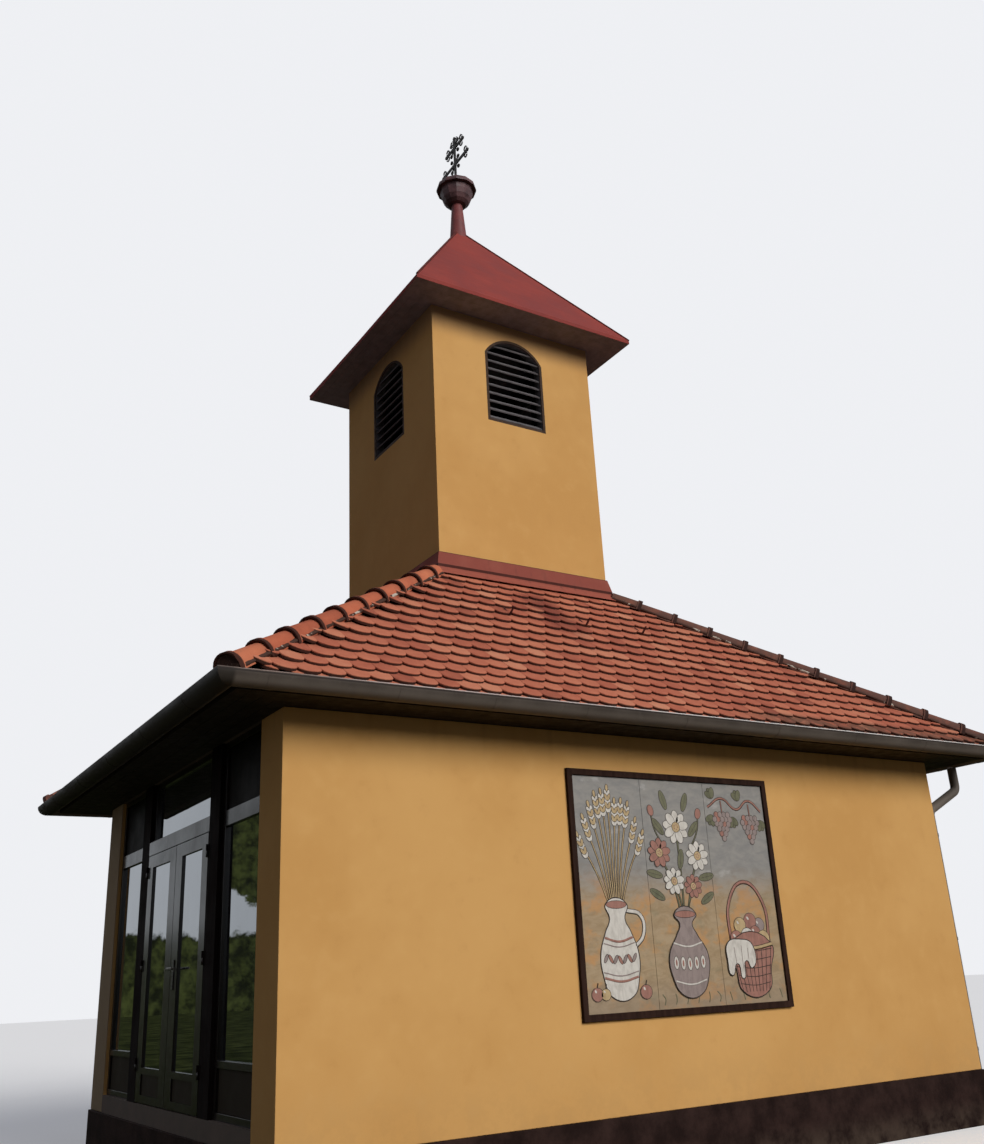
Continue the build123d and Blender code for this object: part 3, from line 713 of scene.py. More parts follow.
def greyLouvre():
    # grey slats behind a brown edge that lies flush with the tower's face
    paint = Paint("greyLouvre", {"Specular IOR Level": 0.12})
    edge = paint.between(towerDepth(paint), 0.014, 0.009)
    grain = paint.noise(30.0, 4, 0.6, factors=(0.25, 0.25, 2.0))
    bleach = paint.noise(4.5, 4, 0.6)
    colour = paint.layer((0.085, 0.078, 0.082), (0.15, 0.14, 0.145), grain, 0.3, 0.7)
    colour = paint.layer(colour, (0.2, 0.188, 0.19), bleach, 0.5, 0.8, 0.4)
    colour = paint.mix(colour, (0.045, 0.026, 0.017), edge)
    return paint.finished(colour, (grain, 0.6, 0.85), (grain, 0.0012, 0.5))


def firedClay(name, stops, tailWear):
    # each tile has its own tone; painted shade makes the ends of its tail and its underside near black, and
    # painted shade under the row above, with some dirt, darkens its upper part
    paint = Paint(name, {"Specular IOR Level": 0.12})
    tone = paint.attribute("tone")
    reach = paint.attribute("reach")
    x, y, z = paint.split()
    mottle = paint.noise(9.0, 4, 0.62)
    sand = paint.noise(210.0, 3, 0.62)
    lichen = paint.between(paint.noise(26.0, 5, 0.7), 0.6, 0.72)
    colour = paint.ramp(tone * 0.66 + mottle * 0.4 - 0.03, stops)
    colour = paint.layer(colour, (0.15, 0.042, 0.028), sand, 0.5, 0.75, 0.32)
    # painted shade with some dirt: darker towards the head, under the row above
    colour = paint.layer(colour, (0.11, 0.036, 0.026), reach, 0.45, 0.9, 0.45)
    paleEdge = paint.between(reach, 0.16, 0.03) * paint.between(mottle, 0.3, 0.6)
    colour = paint.mix(colour, tailWear, paleEdge * 0.12)
    run = paint.between(paint.noise(2.2, 4, 0.6, factors=(1.0, 1.0, 0.35)), 0.5, 0.72)
    high = paint.between(z, footZ - 1.0, footZ - 0.1)
    colour = paint.mix(colour, (0.185, 0.036, 0.028), run * high * 0.55)
    # a dark stain on the right slope, below the flashing
    beside = abs(y - stainY) + (mottle - 0.5) * 0.2
    stain = paint.between(beside, 0.26, 0.06) * paint.between(z, footZ - 1.0, footZ - 0.62)
    stain = stain * paint.between(z, footZ - 0.2, footZ - 0.36)
    colour = paint.mix(colour, (0.11, 0.02, 0.018), stain * paint.between(x, 0.5, 1.0) * 0.6)
    colour = paint.mix(colour, (0.105, 0.085, 0.058), lichen * 0.26)
    moss = paint.between(z, eaveZ + 0.14, eaveZ + 0.06) * paint.between(y, 0.3, 1.2)
    colour = paint.mix(colour, (0.062, 0.04, 0.028), moss * paint.between(mottle, 0.25, 0.55) * 0.75)
    # soot and painted shade: the hips that lie in shade are darkened, the lit one not at all
    soot = paint.attribute("soot") * paint.between(mottle, 0.2, 0.6, 0.6, 0.9)
    colour = paint.mix(colour, (0.075, 0.048, 0.041), soot)
    # painted shade: undersides and the ends of tails and rims go near black
    colour = paint.layer(colour, (0.032, 0.014, 0.011), reach, -0.02, -0.3, 0.95)
    return paint.finished(colour, (sand, 0.78, 0.96), (sand * 0.5 + mottle, 0.0016, 0.6))


def limeMortar():
    paint = Paint("limeMortar", {"Specular IOR Level": 0.15})
    patches = paint.noise(7.0, 4, 0.62)
    sand = paint.noise(120.0, 3, 0.62)
    colour = paint.layer((0.06, 0.03, 0.022), (0.45, 0.4, 0.33), patches, 0.57, 0.61)
    colour = paint.layer(colour, (0.06, 0.038, 0.028), sand, 0.5, 0.75, 0.5)
    return paint.finished(colour, (sand, 0.85, 0.97), (sand + patches * 2.0, 0.004, 0.8))


def roofBattens():
    paint = Paint("roofBattens", {"Specular IOR Level": 0.1})
    grain = paint.noise(14.0, 4, 0.6, factors=(1.0, 1.0, 3.0))
    return paint.use(colour=paint.mix((0.02, 0.013, 0.01), (0.05, 0.034, 0.025), grain),
                     roughness=paint.between(grain, 0.3, 0.7, 0.8, 0.95),
                     normal=paint.bump(grain, 0.002, 0.4))


def brushedSteel():
    paint = Paint("brushedSteel", {"Specular IOR Level": 0.5})
    brush = paint.noise(260.0, 3, 0.6, factors=(0.06, 1.0, 1.0))
    grime = paint.noise(30.0, 4, 0.6)
    z = paint.height()
    # painted highlight and shade: the lever is lightened into a glint and the plate is darkened
    lever = paint.between(abs(z - leverHeight), 0.02, 0.012)
    colour = paint.mix((0.022, 0.018, 0.016), (0.16, 0.15, 0.14),
                       lever * paint.between(brush, 0.2, 0.7, 0.5, 1.0))
    colour = paint.layer(colour, (0.03, 0.024, 0.02), grime, 0.55, 0.75, 0.5)
    return paint.use(colour=colour, metallic=paint.between(grime, 0.75, 0.5, 0.6, 1.0),
                     roughness=paint.between(brush, 0.3, 0.7, 0.24, 0.42),
                     normal=paint.bump(brush, 0.0003, 0.4))


def paintedGround():
    # the boards' own paint: pale grey sky with soft clouds over an ochre field with green in it
    paint = Paint("paintedGround", {"Specular IOR Level": 0.3})
    z = paint.height()
    low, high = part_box("mural_boards")
    brush = paint.noise(7.0, 5, 0.65, factors=(1.0, 1.0, 2.2), twist=0.6)
    clouds = paint.noise(3.2, 4, 0.6, factors=(1.0, 1.0, 1.8))
    strokes = paint.noise(48.0, 3, 0.6, factors=(1.0, 0.35, 1.0))
    share = (z - low.z) / (high.z - low.z) + (brush - 0.5) * 0.16
    sky = paint.layer((0.19, 0.182, 0.172), (0.25, 0.235, 0.212), brush, 0.3, 0.7)
    sky = paint.layer(sky, (0.4, 0.385, 0.36), clouds, 0.6, 0.7, 0.5)
    field = paint.layer((0.27, 0.185, 0.098), (0.35, 0.255, 0.15), brush, 0.3, 0.7)
    field = paint.layer(field, (0.195, 0.17, 0.1), clouds, 0.54, 0.68, 0.5)
    warm = paint.noise(4.2, 4, 0.6, factors=(1.0, 1.0, 1.5))
    field = paint.layer(field, (0.45, 0.22, 0.07), warm, 0.47, 0.62, 0.7)
    colour = paint.layer(field, sky, share, 0.42, 0.62)
    colour = paint.layer(colour, (0.215, 0.165, 0.12), share, 0.16, 0.02, 0.45)
    colour = paint.layer(colour, (0.16, 0.13, 0.1), strokes, 0.6, 0.8, 0.28)
    return paint.finished(colour, (brush, 0.42, 0.62), (strokes + brush * 0.5, 0.0008, 0.5))


def brushColour(name, colour, shade):
    # one mixed colour of the picture, laid on with a brush
    paint = Paint(name, {"Specular IOR Level": 0.3})
    brush = paint.noise(24.0, 4, 0.62, factors=(1.0, 1.0, 0.45), twist=0.7)
    strokes = paint.noise(120.0, 2, 0.6, factors=(1.0, 0.4, 1.0))
    mixed = paint.layer(colour, shade, brush, 0.35, 0.75, 0.75)
    mixed = paint.layer(mixed, tuple(c * 0.6 for c in shade), strokes, 0.6, 0.8, 0.3)
    return paint.use(colour=mixed, roughness=paint.between(brush, 0.3, 0.7, 0.42, 0.6),
                     normal=paint.bump(strokes, 0.0006, 0.5))


paints = {
    "plaster": ochreRender(),
    "plinth": darkPlinth(),
    "concrete": greyConcrete(),
    "eaves_board": stainedBoards("eavesBoards", (0.02, 0.015, 0.012), (0.05, 0.038, 0.03), 0.118, 0.55),
    "gutter": brownGutter(),
    "flashing": salmonFlashing(),
    "red_sheet": redSheet(),
    "stem_paint": glossPaint("stemPaint", (0.11, 0.022, 0.022), (0.205, 0.05, 0.046), 0.5),
    "ball_paint": glossPaint("ballPaint", (0.047, 0.021, 0.023), (0.137, 0.062, 0.065), 0.45),
    "wrought_iron": glossPaint("wroughtIron", (0.01, 0.009, 0.009), (0.028, 0.022, 0.02), 0.5, 0.3, 30.0),
    "roof_tile": firedClay("roofTile", (
        (0.1, (0.235, 0.066, 0.041)), (0.36, (0.398, 0.116, 0.068)),
        (0.6, (0.485, 0.162, 0.093)), (0.9, (0.56, 0.24, 0.142))), (0.56, 0.248, 0.152)),
    "hip_tile": firedClay("hipTile", (
        (0.1, (0.225, 0.06, 0.036)), (0.45, (0.43, 0.116, 0.06)),
        (0.9, (0.56, 0.195, 0.1))), (0.54, 0.19, 0.116)),
    "louvre": greyLouvre(),
    "dark_frame": darkJoinery("frameStain", (0.005, 0.003, 0.0026), (0.014, 0.008, 0.0065), 0.36, 0.7),
    "dark_panel": darkJoinery("panelStain", (0.004, 0.0027, 0.0024), (0.009, 0.0058, 0.005), 0.5,
                              specular=0.04, foot=(0.03, 0.023, 0.016)),
    "glazing": doubleGlazing(),
    "handle_steel": brushedSteel(),
    "mural_border": darkJoinery("borderStain", (0.018, 0.009, 0.0065), (0.036, 0.018, 0.013), 0.6,
                                specular=0.03),
    "mural_paint": paintedGround(),
}
towerSoffitPaint = stainedBoards("towerSoffitBoards", (0.15, 0.13, 0.15), (0.26, 0.235, 0.28), 0.105,
                                 0.6, joints=0.2, ringed=False)
postPaint = darkJoinery("postStain", (0.0045, 0.0028, 0.0026), (0.011, 0.0065, 0.006), 0.7, specular=0.03)
mortarPaint = limeMortar()
seamPaint = glossPaint("seamPaint", (0.07, 0.016, 0.014), (0.13, 0.03, 0.025), 0.75, specular=0.1)
hookPaint = glossPaint("hookPaint", (0.05, 0.015, 0.014), (0.09, 0.025, 0.022), 0.65, specular=0.1)
battenPaint = roofBattens()
softEdges = {
    "plinth": 0.006,
    "back_wall": 0.008,
    "transom_frame": 0.002,
    "mural_frame": 0.003,
    "mural_boards": 0.001,
}
for hand in ("left", "right"):
    softEdges[hand + "_wall"] = 0.008
    softEdges[hand + "_post"] = 0.004
    for name in ("sidelight_frame", "sidelight_panels", "leaf_frame", "leaf_panel"):
        softEdges[hand + "_" + name] = 0.002
for name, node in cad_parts.items():
    for holder in node.material_slots:
        holder.material = paints[holder.material.name].material
    if name in softEdges:
        weld = node.modifiers.new("weld", "WELD")
        weld.merge_threshold = 0.00005
        bevel = node.modifiers.new("softEdge", "BEVEL")
        bevel.width = softEdges[name]
        bevel.segments = 2
        bevel.limit_method = "ANGLE"
        bevel.angle_limit = math.radians(40)
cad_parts["tower_soffit"].material_slots[0].material = towerSoffitPaint.material
for name in ("left_post", "right_post"):
    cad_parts[name].material_slots[0].material = postPaint.material
print("materials made")


# Roof tiles

tileSizes = {
    "width": 0.178,
    "gap": 0.002,
    "length": 0.262,
    "tailDepth": 0.068,
    "thickness": 0.026,
    "show": 0.137,        # length that stays in sight of the lowest and the highest rows
    "showMore": 0.036,    # and what the rows halfway up show over that
    "edge": 0.003,
    "turn": 0.7,          # degrees that a tile may lie askew
    "tip": 0.35,          # and degrees that its tail may be up or down
    "slip": 0.002,        # and metres that it may lie too high or too low
    "hipCut": 0.06,       # the tiles end this far from the hips' upright planes
    "hipLift": 0.042,     # and ride up on the mortar there
    "hipSweep": 0.08,     # the rows also sweep up the slope beside the hips
    "hipEdge": 0.175,     # both are full this far from a hip, measured along the row
    "hipReach": 0.12,
    "backHips": 0.3,      # share of all this at the two back hips
    "apronGap": 0.3,      # the lift fades out over this and the next length below the tower's apron
    "apronFade": 0.45,
    "apronShare": 0.1,
    "courseStep": 0.004,  # how far up the lower one of the doubled tiles at the eaves lies
    "toneSpread": 0.2,
    "seed": 7,
}


def makeTile():
    # tail at y 0, head at +y, and the top of the tail on the xy plane
    half = tileSizes["width"] / 2
    squash = tileSizes["tailDepth"] / half       # the tail is a half circle pressed flatter
    length = tileSizes["length"]
    tile = newSheet(tileSizes["width"], length / squash, (0, length / squash / 2, 0))
    openMesh(tile)
    choose(tile, "VERT", lambda v: v.co.y < 0.001)
    bpy.ops.mesh.bevel(offset=half * 0.999, segments=4, affect="VERTICES")
    bpy.ops.mesh.select_all(action="SELECT")
    bpy.ops.transform.resize(value=(1, squash, 1), center_override=(0, 0, 0))
    bpy.ops.mesh.remove_doubles(threshold=0.002)
    extrude(0, 0, -tileSizes["thickness"])
    turnOutwards()
    choose(tile, "EDGE", lambda e: middle(e).z > -0.0001 and middle(e).y < length * 0.4
           and any(abs(f.normal.z) < 0.5 for f in e.link_faces))
    bpy.ops.mesh.bevel(offset=tileSizes["edge"], segments=1, affect="EDGES")
    closeMesh()
    top = -tileSizes["thickness"] / 2
    # how far up the tile a vertex of its top lies, and less than 0 for its underside, which the material
    # paints near black as shade
    marked(tile, "reach", [v.co.y / length if v.co.z > top else -1.0 for v in tile.data.vertices])
    markedAll(tile, "tone", 0.5)
    markedAll(tile, "soot", 0.0)
    return tile


def cutAway(obj, place, normal, fill):
    # removes all that lies on the side of a plane that its normal points to
    openMesh(obj)
    bpy.ops.mesh.bisect(plane_co=place, plane_no=normal, use_fill=fill, clear_outer=True)
    closeMesh()


def trimToSlope(obj, slope, fill=True, setIn=0.0):
    # the hips' upright planes and the tower's face bound each slope
    for eave, foot, sign in zip(slope["eave"], slope["foot"], (1, -1)):
        aside = (foot - eave).cross(up).normalized() * -sign
        cutAway(obj, eave - aside * setIn, aside, fill)
    cutAway(obj, slope["foot"][0] + slope["outward"] * 0.002, -slope["outward"], fill)


def meanShow():
    return tileSizes["show"] + tileSizes["showMore"] * 2 / math.pi


def rowStart(row, rows):
    # how far up the slope a row's tails lie
    return sum(tileSizes["show"] + tileSizes["showMore"] * math.sin(math.pi * k / rows) for k in range(row))


def nearHips(slope, toHips, aside):
    # 1 beside a hip and 0 far from it, at a place aside of a tile's middle
    near = 0.0
    for eave, toHip, way in zip(slope["eave"], toHips, (1, -1)):
        share = 1.0 if eave.y < 0 else tileSizes["backHips"]
        past = max(0.0, toHip + way * aside - tileSizes["hipEdge"])
        near += math.exp(-past / tileSizes["hipReach"]) * share
    return near


def tileMatrix(slope, across, start, toHips, dice):
    width = tileSizes["width"]
    tilt = math.asin(tileSizes["thickness"] / meanShow())
    wobble = [dice.uniform(-1, 1) for _ in range(4)]
    left = nearHips(slope, toHips, -width / 2)
    right = nearHips(slope, toHips, width / 2)
    sweep = tileSizes["hipSweep"]
    belowApron = (slope["length"] - start - tileSizes["apronGap"]) / tileSizes["apronFade"]
    lift = tileSizes["hipLift"] * min(1.0, max(tileSizes["apronShare"], belowApron))
    here = Matrix.Translation((across + wobble[0] * tileSizes["slip"] * 0.4,
                               start + wobble[1] * tileSizes["slip"] + sweep * (left + right) / 2,
                               lift * (left + right) / 2))
    roll = Matrix.Rotation(math.atan(lift * (left - right) / width), 4, "Y")
    turn = Matrix.Rotation(math.radians(wobble[2] * tileSizes["turn"])
                           - math.atan(sweep * (left - right) / width), 4, "Z")
    tip = Matrix.Rotation(-tilt + math.radians(wobble[3] * tileSizes["tip"]), 4, "X")
    return slope["matrix"] @ here @ roll @ turn @ tip


def layTiles(side, tile, dice):
    slope = slopeOf(side)
    pitch = tileSizes["width"] + tileSizes["gap"]
    rows = round(slope["length"] / meanShow())
    laid = []
    for row in range(-1, rows):
        start = rowStart(max(row, 0), rows)
        share = start / slope["length"]
        low = slope["from"] + (slope["fromTop"] - slope["from"]) * share
        high = slope["to"] + (slope["toTop"] - slope["to"]) * share
        shift = pitch / 2 if row % 2 else 0.0
        first = math.floor((low - shift) / pitch)
        last = math.ceil((high - shift) / pitch)
        for k in range(first, last + 1):
            across = k * pitch + shift
            matrix = tileMatrix(slope, across, start, (across - low, high - across), dice)
            if row < 0:           # the doubled course at the eaves
                under = -tileSizes["thickness"] - 0.0005
                matrix = matrix @ Matrix.Translation((0, tileSizes["courseStep"], under))
            tone = drawTone(dice, 0.5, tileSizes["toneSpread"])
            laid.append(markedAll(twinAt(tile, matrix), "tone", tone))
    field = joined(laid, "roof_tiles_" + side)
    trimToSlope(field, slope, setIn=tileSizes["hipCut"])
    return field


deckSizes = {
    "setIn": 0.2,      # from the eaves, behind the fascia
    "drop": 0.04,      # below the tiles' plane
    "thickness": 0.02,
}


def makeDeck(side):
    # boards and battens under the tiles
    slope = slopeOf(side)
    setIn = deckSizes["setIn"]
    middleOfDeck = ((slope["from"] + slope["to"]) / 2, (slope["length"] + setIn) / 2, -deckSizes["drop"])
    deck = newSheet(slope["to"] - slope["from"], slope["length"] - setIn, middleOfDeck)
    setDown(deck, slope["matrix"])
    openMesh(deck)
    bpy.ops.mesh.subdivide(number_cuts=1)
    closeMesh()
    trimToSlope(deck, slope, fill=False)
    thicken(deck, deckSizes["thickness"])
    for name in ("reach", "tone", "soot"):
        markedAll(deck, name, 0.0)
    return deck


def makeRoofTiles():
    dice = random.Random(tileSizes["seed"])
    tile = makeTile()
    print("one tile:", len(tile.data.polygons), "faces")
    for side in sideNames:
        field = layTiles(side, tile, dice)
        deck = makeDeck(side)
        field.data.materials.append(paints["roof_tile"].material)
        deck.data.materials.append(battenPaint.material)
        field = joined([field, deck], "roof_tiles_" + side)
        dress(field, None, "roof_tile", "roof_" + side)
        print("roof", side, "faces:", len(field.data.polygons))
    discard(tile)


makeRoofTiles()
print("roof tiles laid")


# Hip tiles

hipSizes = {
    "radius": 0.1115,      # of the rim round the lower end
    "headRadius": 0.08,
    "sink": 0.052,         # axis of the tiles below the line where the slopes meet
    "lap": 0.05,
    "wall": 0.018,
    "legs": 0.028,         # straight sides below the half round
    "rim": 0.046,
    "rimHeight": 0.013,
    "start": 0.018,
    "slip": 0.006,
    "askew": 1.0,          # degrees
    "pitch": 0.385,
    "endGaps": (0.166, 0.06, 0.06, 0.166),    # at the tower, in the order of hipLines
    # soot and painted shade on each hip, in the order of hipLines; the lit hip has none
    "soot": (0.0, 1.0, 0.8, 0.9),
    "tone": (0.55, 0.22),                       # mean and spread
    "sides": 24,
    "seed": 11,
}
bedSizes = {
    "radius": 0.1,
    "flatness": (1.05, 1.0, 0.3),
    "drop": 0.056,         # middle of the mortar below the line where the slopes meet
    "start": 0.03,
    "endGap": 0.01,
    "cut": 0.045,          # length between the rings that the lumps move
    "lump": 0.07,
    "lumpHeight": 0.016,
    "plugDepth": 0.05,
    "plugFoot": 0.072,     # flat underside of the plug below the line where the slopes meet
    "gap": 0.001,          # all round the plug
}


def hipLines():
    # low and high end of each hip, with its axes: across, up the hip, off it
    lines = []
    for x, y in ((1, -1), (1, 1), (-1, 1), (-1, -1)):
        low = corner(tilesLow, tilesHigh, x, y, eaveZ)
        high = corner(towerLow, towerHigh, x, y, footZ)
        climb = (high - low).normalized()
        across = climb.cross(up).normalized()
        lines.append((low, high, across, climb, across.cross(climb)))
    return lines


def makeHipTile(pitch):
    length = pitch + hipSizes["lap"]
    bpy.ops.mesh.primitive_cone_add(
        vertices=hipSizes["sides"], radius1=hipSizes["radius"] - hipSizes["rimHeight"],
        radius2=hipSizes["headRadius"], depth=length, end_fill_type="NOTHING",
        location=(0, length / 2, 0), rotation=(-math.pi / 2, 0, 0))
    tile = bpy.context.object
    settle(tile)
    cutAway(tile, (0, 0, 0), (0, 0, -1), False)
    openMesh(tile)
    choose(tile, "EDGE", lambda e: all(abs(v.co.z) < 0.0005 for v in e.verts))
    extrude(0, 0, -hipSizes["legs"])
    bpy.ops.mesh.select_all(action="SELECT")
    bpy.ops.mesh.bisect(plane_co=(0, hipSizes["rim"], 0), plane_no=(0, 1, 0))
    turnOutwards()
    choose(tile, "FACE", lambda f: middle(f).y < hipSizes["rim"])
    swell(hipSizes["rimHeight"])
    closeMesh()
    thicken(tile, hipSizes["wall"])
    # reach as on the roof tiles: painted shade near black on the low end's faces, and painted shade growing
    # towards the head
    marked(tile, "reach", [min(1.0, v.co.y / length) * 0.8 if v.co.y > 0.001 else -1.0
                           for v in tile.data.vertices])
    return markedAll(tile, "tone", 0.5)


def makeHipRow(low, high, across, climb, off, dice):
    length = (high - low).length - hipSizes["start"]
    count = round(length / hipSizes["pitch"])
    pitch = length / count
    tile = makeHipTile(pitch)
    row = []
    for i in range(count):
        askew = Matrix.Rotation(math.radians(dice.uniform(-1, 1) * hipSizes["askew"]), 4, "Z")
        reach = hipSizes["start"] + i * pitch + dice.uniform(0.0, hipSizes["slip"])
        place = low + climb * reach - off * hipSizes["sink"]
        twin = twinAt(tile, axes(across, climb, off, place) @ askew)
        row.append(markedAll(twin, "tone", drawTone(dice, *hipSizes["tone"])))
    discard(tile)
    return joined(row, "hip_row")


def makeHips():
    dice = random.Random(hipSizes["seed"])
    rows = []
    beds = []
    for line, endGap, soot in zip(hipLines(), hipSizes["endGaps"], hipSizes["soot"]):
        low, high, across, climb, off = line
        end = high - climb * endGap
        row = markedAll(makeHipRow(*line, dice), "soot", soot)
        cutAway(row, end, climb, True)
        rows.append(row)
        beds.append(makeBed(low, end, across, climb, off))
    tiles = joined(rows, "hip_row_tiles")
    insideGutters(tiles)
    smoothed(tiles, 32)
    dress(tiles, paints["hip_tile"], "hip_tile", "hip_tiles")
    mortar = joined(beds, "hip_mortar")
    insideGutters(mortar)
    dress(mortar, mortarPaint, "hip_tile")
    print("hip tiles:", len(tiles.data.polygons), "faces, mortar:", len(mortar.data.polygons))


def insideGutters(obj):
    # the lowest tiles are trimmed plumb with the gutters' lips
    for way, reach in ((Vector((1, 0, 0)), gutterHigh.x), (Vector((0, 1, 0)), gutterHigh.y)):
        for sign in (1, -1):
            cutAway(obj, way * sign * (reach - 0.0005), way * sign, True)


def makeBed(low, high, across, climb, off):
    # the mortar under the hip tiles, squeezed out unevenly below their edges, and the plug in the lowest
    start = bedSizes["start"]
    length = (high - low).length - start - bedSizes["endGap"]
    bed = newRod(20, bedSizes["radius"], length, start, 0)
    openMesh(bed)
    choose(bed, "EDGE", lambda e: abs(e.verts[0].co.y - e.verts[1].co.y) > 0.1)
    bpy.ops.mesh.subdivide(number_cuts=int(length / bedSizes["cut"]))
    bpy.ops.mesh.select_all(action="SELECT")
    bpy.ops.transform.resize(value=bedSizes["flatness"], center_override=(0, 0, 0))
    bpy.ops.transform.translate(value=(0, 0, -bedSizes["drop"]))
    closeMesh()
    noise = bpy.data.textures.new("bedNoise", "CLOUDS")
    noise.noise_scale = bedSizes["lump"]
    rough = bed.modifiers.new("rough", "DISPLACE")
    rough.texture = noise
    rough.texture_coords = "LOCAL"
    rough.strength = bedSizes["lumpHeight"]
    rough.mid_level = 0.55
    applyModifiers(bed)
    plug = newRod(24, hipSizes["radius"] - hipSizes["wall"] - bedSizes["gap"], bedSizes["plugDepth"], start,
                  hipSizes["sink"])
    openMesh(plug)
    choose(plug, "FACE", lambda f: f.normal.y < -0.9)
    for inset, step in ((0.02, 0.006), (0.03, -0.003)):
        bpy.ops.mesh.inset(thickness=inset)
        bpy.ops.transform.translate(value=(0, step, 0))
    closeMesh()
    cutAway(plug, (0, 0, -bedSizes["plugFoot"]), (0, 0, -1), True)
    bed = joined([bed, plug], "hip_bed")
    setDown(bed, axes(across, climb, off, low))
    return smoothed(bed, 60)


makeHips()
print("hips made")


# Gutter straps, joints and roof hooks

strapSizes = {
    "width": 0.026,
    "thickness": 0.0022,
    "radius": 0.096,
    "jointWidth": 0.055,
    "rightPlaces": (-2.776, -1.996, -1.166, -0.166, 0.874, 1.844, 2.804),
    "jointPlace": -3.716,
    "spacing": 0.92,
    "steps": 14,
    "wrap": 172,          # degrees round the gutter
    "topGap": 0.022,      # the straps end this far below the gutter's axis
    "cornerGap": 0.25,
    "shortShare": 0.72,   # of jointPlace, on the short sides
}


def makeStrap(width):
    # a band bent round the gutter, with its axis along x, outward +y
    strap = newSheet(width, strapSizes["thickness"],
                     (0, strapSizes["radius"] + strapSizes["thickness"] / 2, 0.001))
    openMesh(strap)
    bpy.ops.mesh.spin(steps=strapSizes["steps"], angle=math.radians(strapSizes["wrap"]),
                      center=(0, 0, 0), axis=(1, 0, 0))
    closeMesh()
    outwardNormals(strap)
    cutAway(strap, (0, 0, -strapSizes["topGap"]), (0, 0, 1), True)
    return smoothed(strap, 30)


def strapPlaces(side, span):
    if side == "right":
        return strapSizes["rightPlaces"]
    count = int(2 * span / strapSizes["spacing"])
    return [span * ((2 * i + 1) / count - 1) for i in range(count)]


def makeStraps():
    strap = makeStrap(strapSizes["width"])
    cover = makeStrap(strapSizes["jointWidth"])
    made = []
    for side in sideNames:
        outward = outwardOf[side]
        along = up.cross(outward)
        reach, span = gutterHigh.x, gutterHigh.y
        joint = strapSizes["jointPlace"]
        if side in ("front", "back"):
            reach, span = span, reach
            joint = joint * strapSizes["shortShare"]
        centre = outward * (reach - strapSizes["radius"]) + up * (gutterLow.z + strapSizes["radius"])
        places = [(strap, place) for place in strapPlaces(side, span - strapSizes["cornerGap"])]
        for band, place in places + [(cover, joint)]:
            made.append(twinAt(band, axes(-along, outward, up, centre + along * place)))
    discard(strap)
    discard(cover)
    dress(outwardNormals(joined(made, "gutter_straps")), paints["gutter"], "gutter")


makeStraps()


hookSizes = {
    "width": 0.016,
    "thickness": 0.004,
    "edge": 0.001,
    "tail": 0.13,
    "depth": 0.012,                       # of the tail below the tiles' plane
    "height": 0.084,
    "lean": 0.012,
    "level": 1.62,                        # up the slope from the eaves
    "rightPlaces": (-1.034, -0.189, 0.485),
    "otherPlaces": (-0.78, 0.0, 0.78),
}


def makeHook():
    # a strip that comes from under a tile, rises into an upright peg and leans back to its foot
    tail, height = hookSizes["tail"], hookSizes["height"]
    hook = newSheet(hookSizes["width"], tail, (0, tail / 2, -hookSizes["depth"]))
    openMesh(hook)
    choose(hook, "EDGE", lambda e: all(v.co.y < 0.001 for v in e.verts))
    for run, rise in ((-0.02, 0.012), (-0.008, height - 0.012), (0.006, 0.003),
                      (hookSizes["lean"], -height + 0.006)):
        extrude(0, run, rise)
    closeMesh()
    thicken(hook, hookSizes["thickness"], 0)
    edge = hook.modifiers.new("edge", "BEVEL")
    edge.width = hookSizes["edge"]
    edge.segments = 1
    applyModifiers(hook)
    return hook


def makeHooks():
    hook = makeHook()
    made = []
    for side in sideNames:
        slope = slopeOf(side)
        middleOfSlope = (slope["fromTop"] + slope["toTop"]) / 2
        places = hookSizes["rightPlaces"] if side == "right" else [
            middleOfSlope + place for place in hookSizes["otherPlaces"]]
        for place in places:
            here = Matrix.Translation((place, hookSizes["level"], 0))
            made.append(twinAt(hook, slope["matrix"] @ here))
    discard(hook)
    dress(joined(made, "roof_hooks"), hookPaint, "red_sheet")


makeHooks()
print("straps and hooks made")


# Rolled seams on the tower roof

seamSizes = {
    "radius": 0.013,
    "sides": 8,
    "edgeDepth": 0.004,
    "edgeDrop": 0.002,   # the drip edge hangs this far below the soffit
    "edgeGap": 0.003,    # and ends this far below the seams' feet
    "footRise": 0.022,   # of the seams' feet above the soffit
    "topGap": 0.05,      # share of a hip that its seam leaves free under the finial's stem
}


def makeSeam(low, high):
    # a round seam along a hip of the tower roof, with closed ends
    climb = (high - low).normalized()
    length = (high - low).length
    radius = seamSizes["radius"]
    bpy.ops.mesh.primitive_cylinder_add(vertices=seamSizes["sides"], radius=radius, depth=length,
                                        location=(0, 0, length / 2))
    seam = bpy.context.object
    settle(seam)
    openMesh(seam)
    choose(seam, "FACE", lambda f: abs(f.normal.z) > 0.9)
    bpy.ops.mesh.inset(thickness=radius * 0.4)
    swell(radius * 0.3)
    closeMesh()
    across = climb.cross(up).normalized()
    setDown(seam, axes(across, climb.cross(across), climb, low))
    seam.data.materials.append(seamPaint.material)
    return seam


def makeDripEdge(low, high, z, height):
    # a folded strip round the eaves of the tower roof
    strip = newSheet(high.x - low.x, high.y - low.y, ((low.x + high.x) / 2, (low.y + high.y) / 2, z))
    openMesh(strip)
    extrude(0, 0, height)
    choose(strip, "FACE", lambda f: abs(f.normal.z) > 0.9)
    bpy.ops.mesh.delete(type="ONLY_FACE")
    turnOutwards()
    closeMesh()
    thicken(strip, seamSizes["edgeDepth"], 1)
    strip.data.materials.append(paints["red_sheet"].material)
    return strip


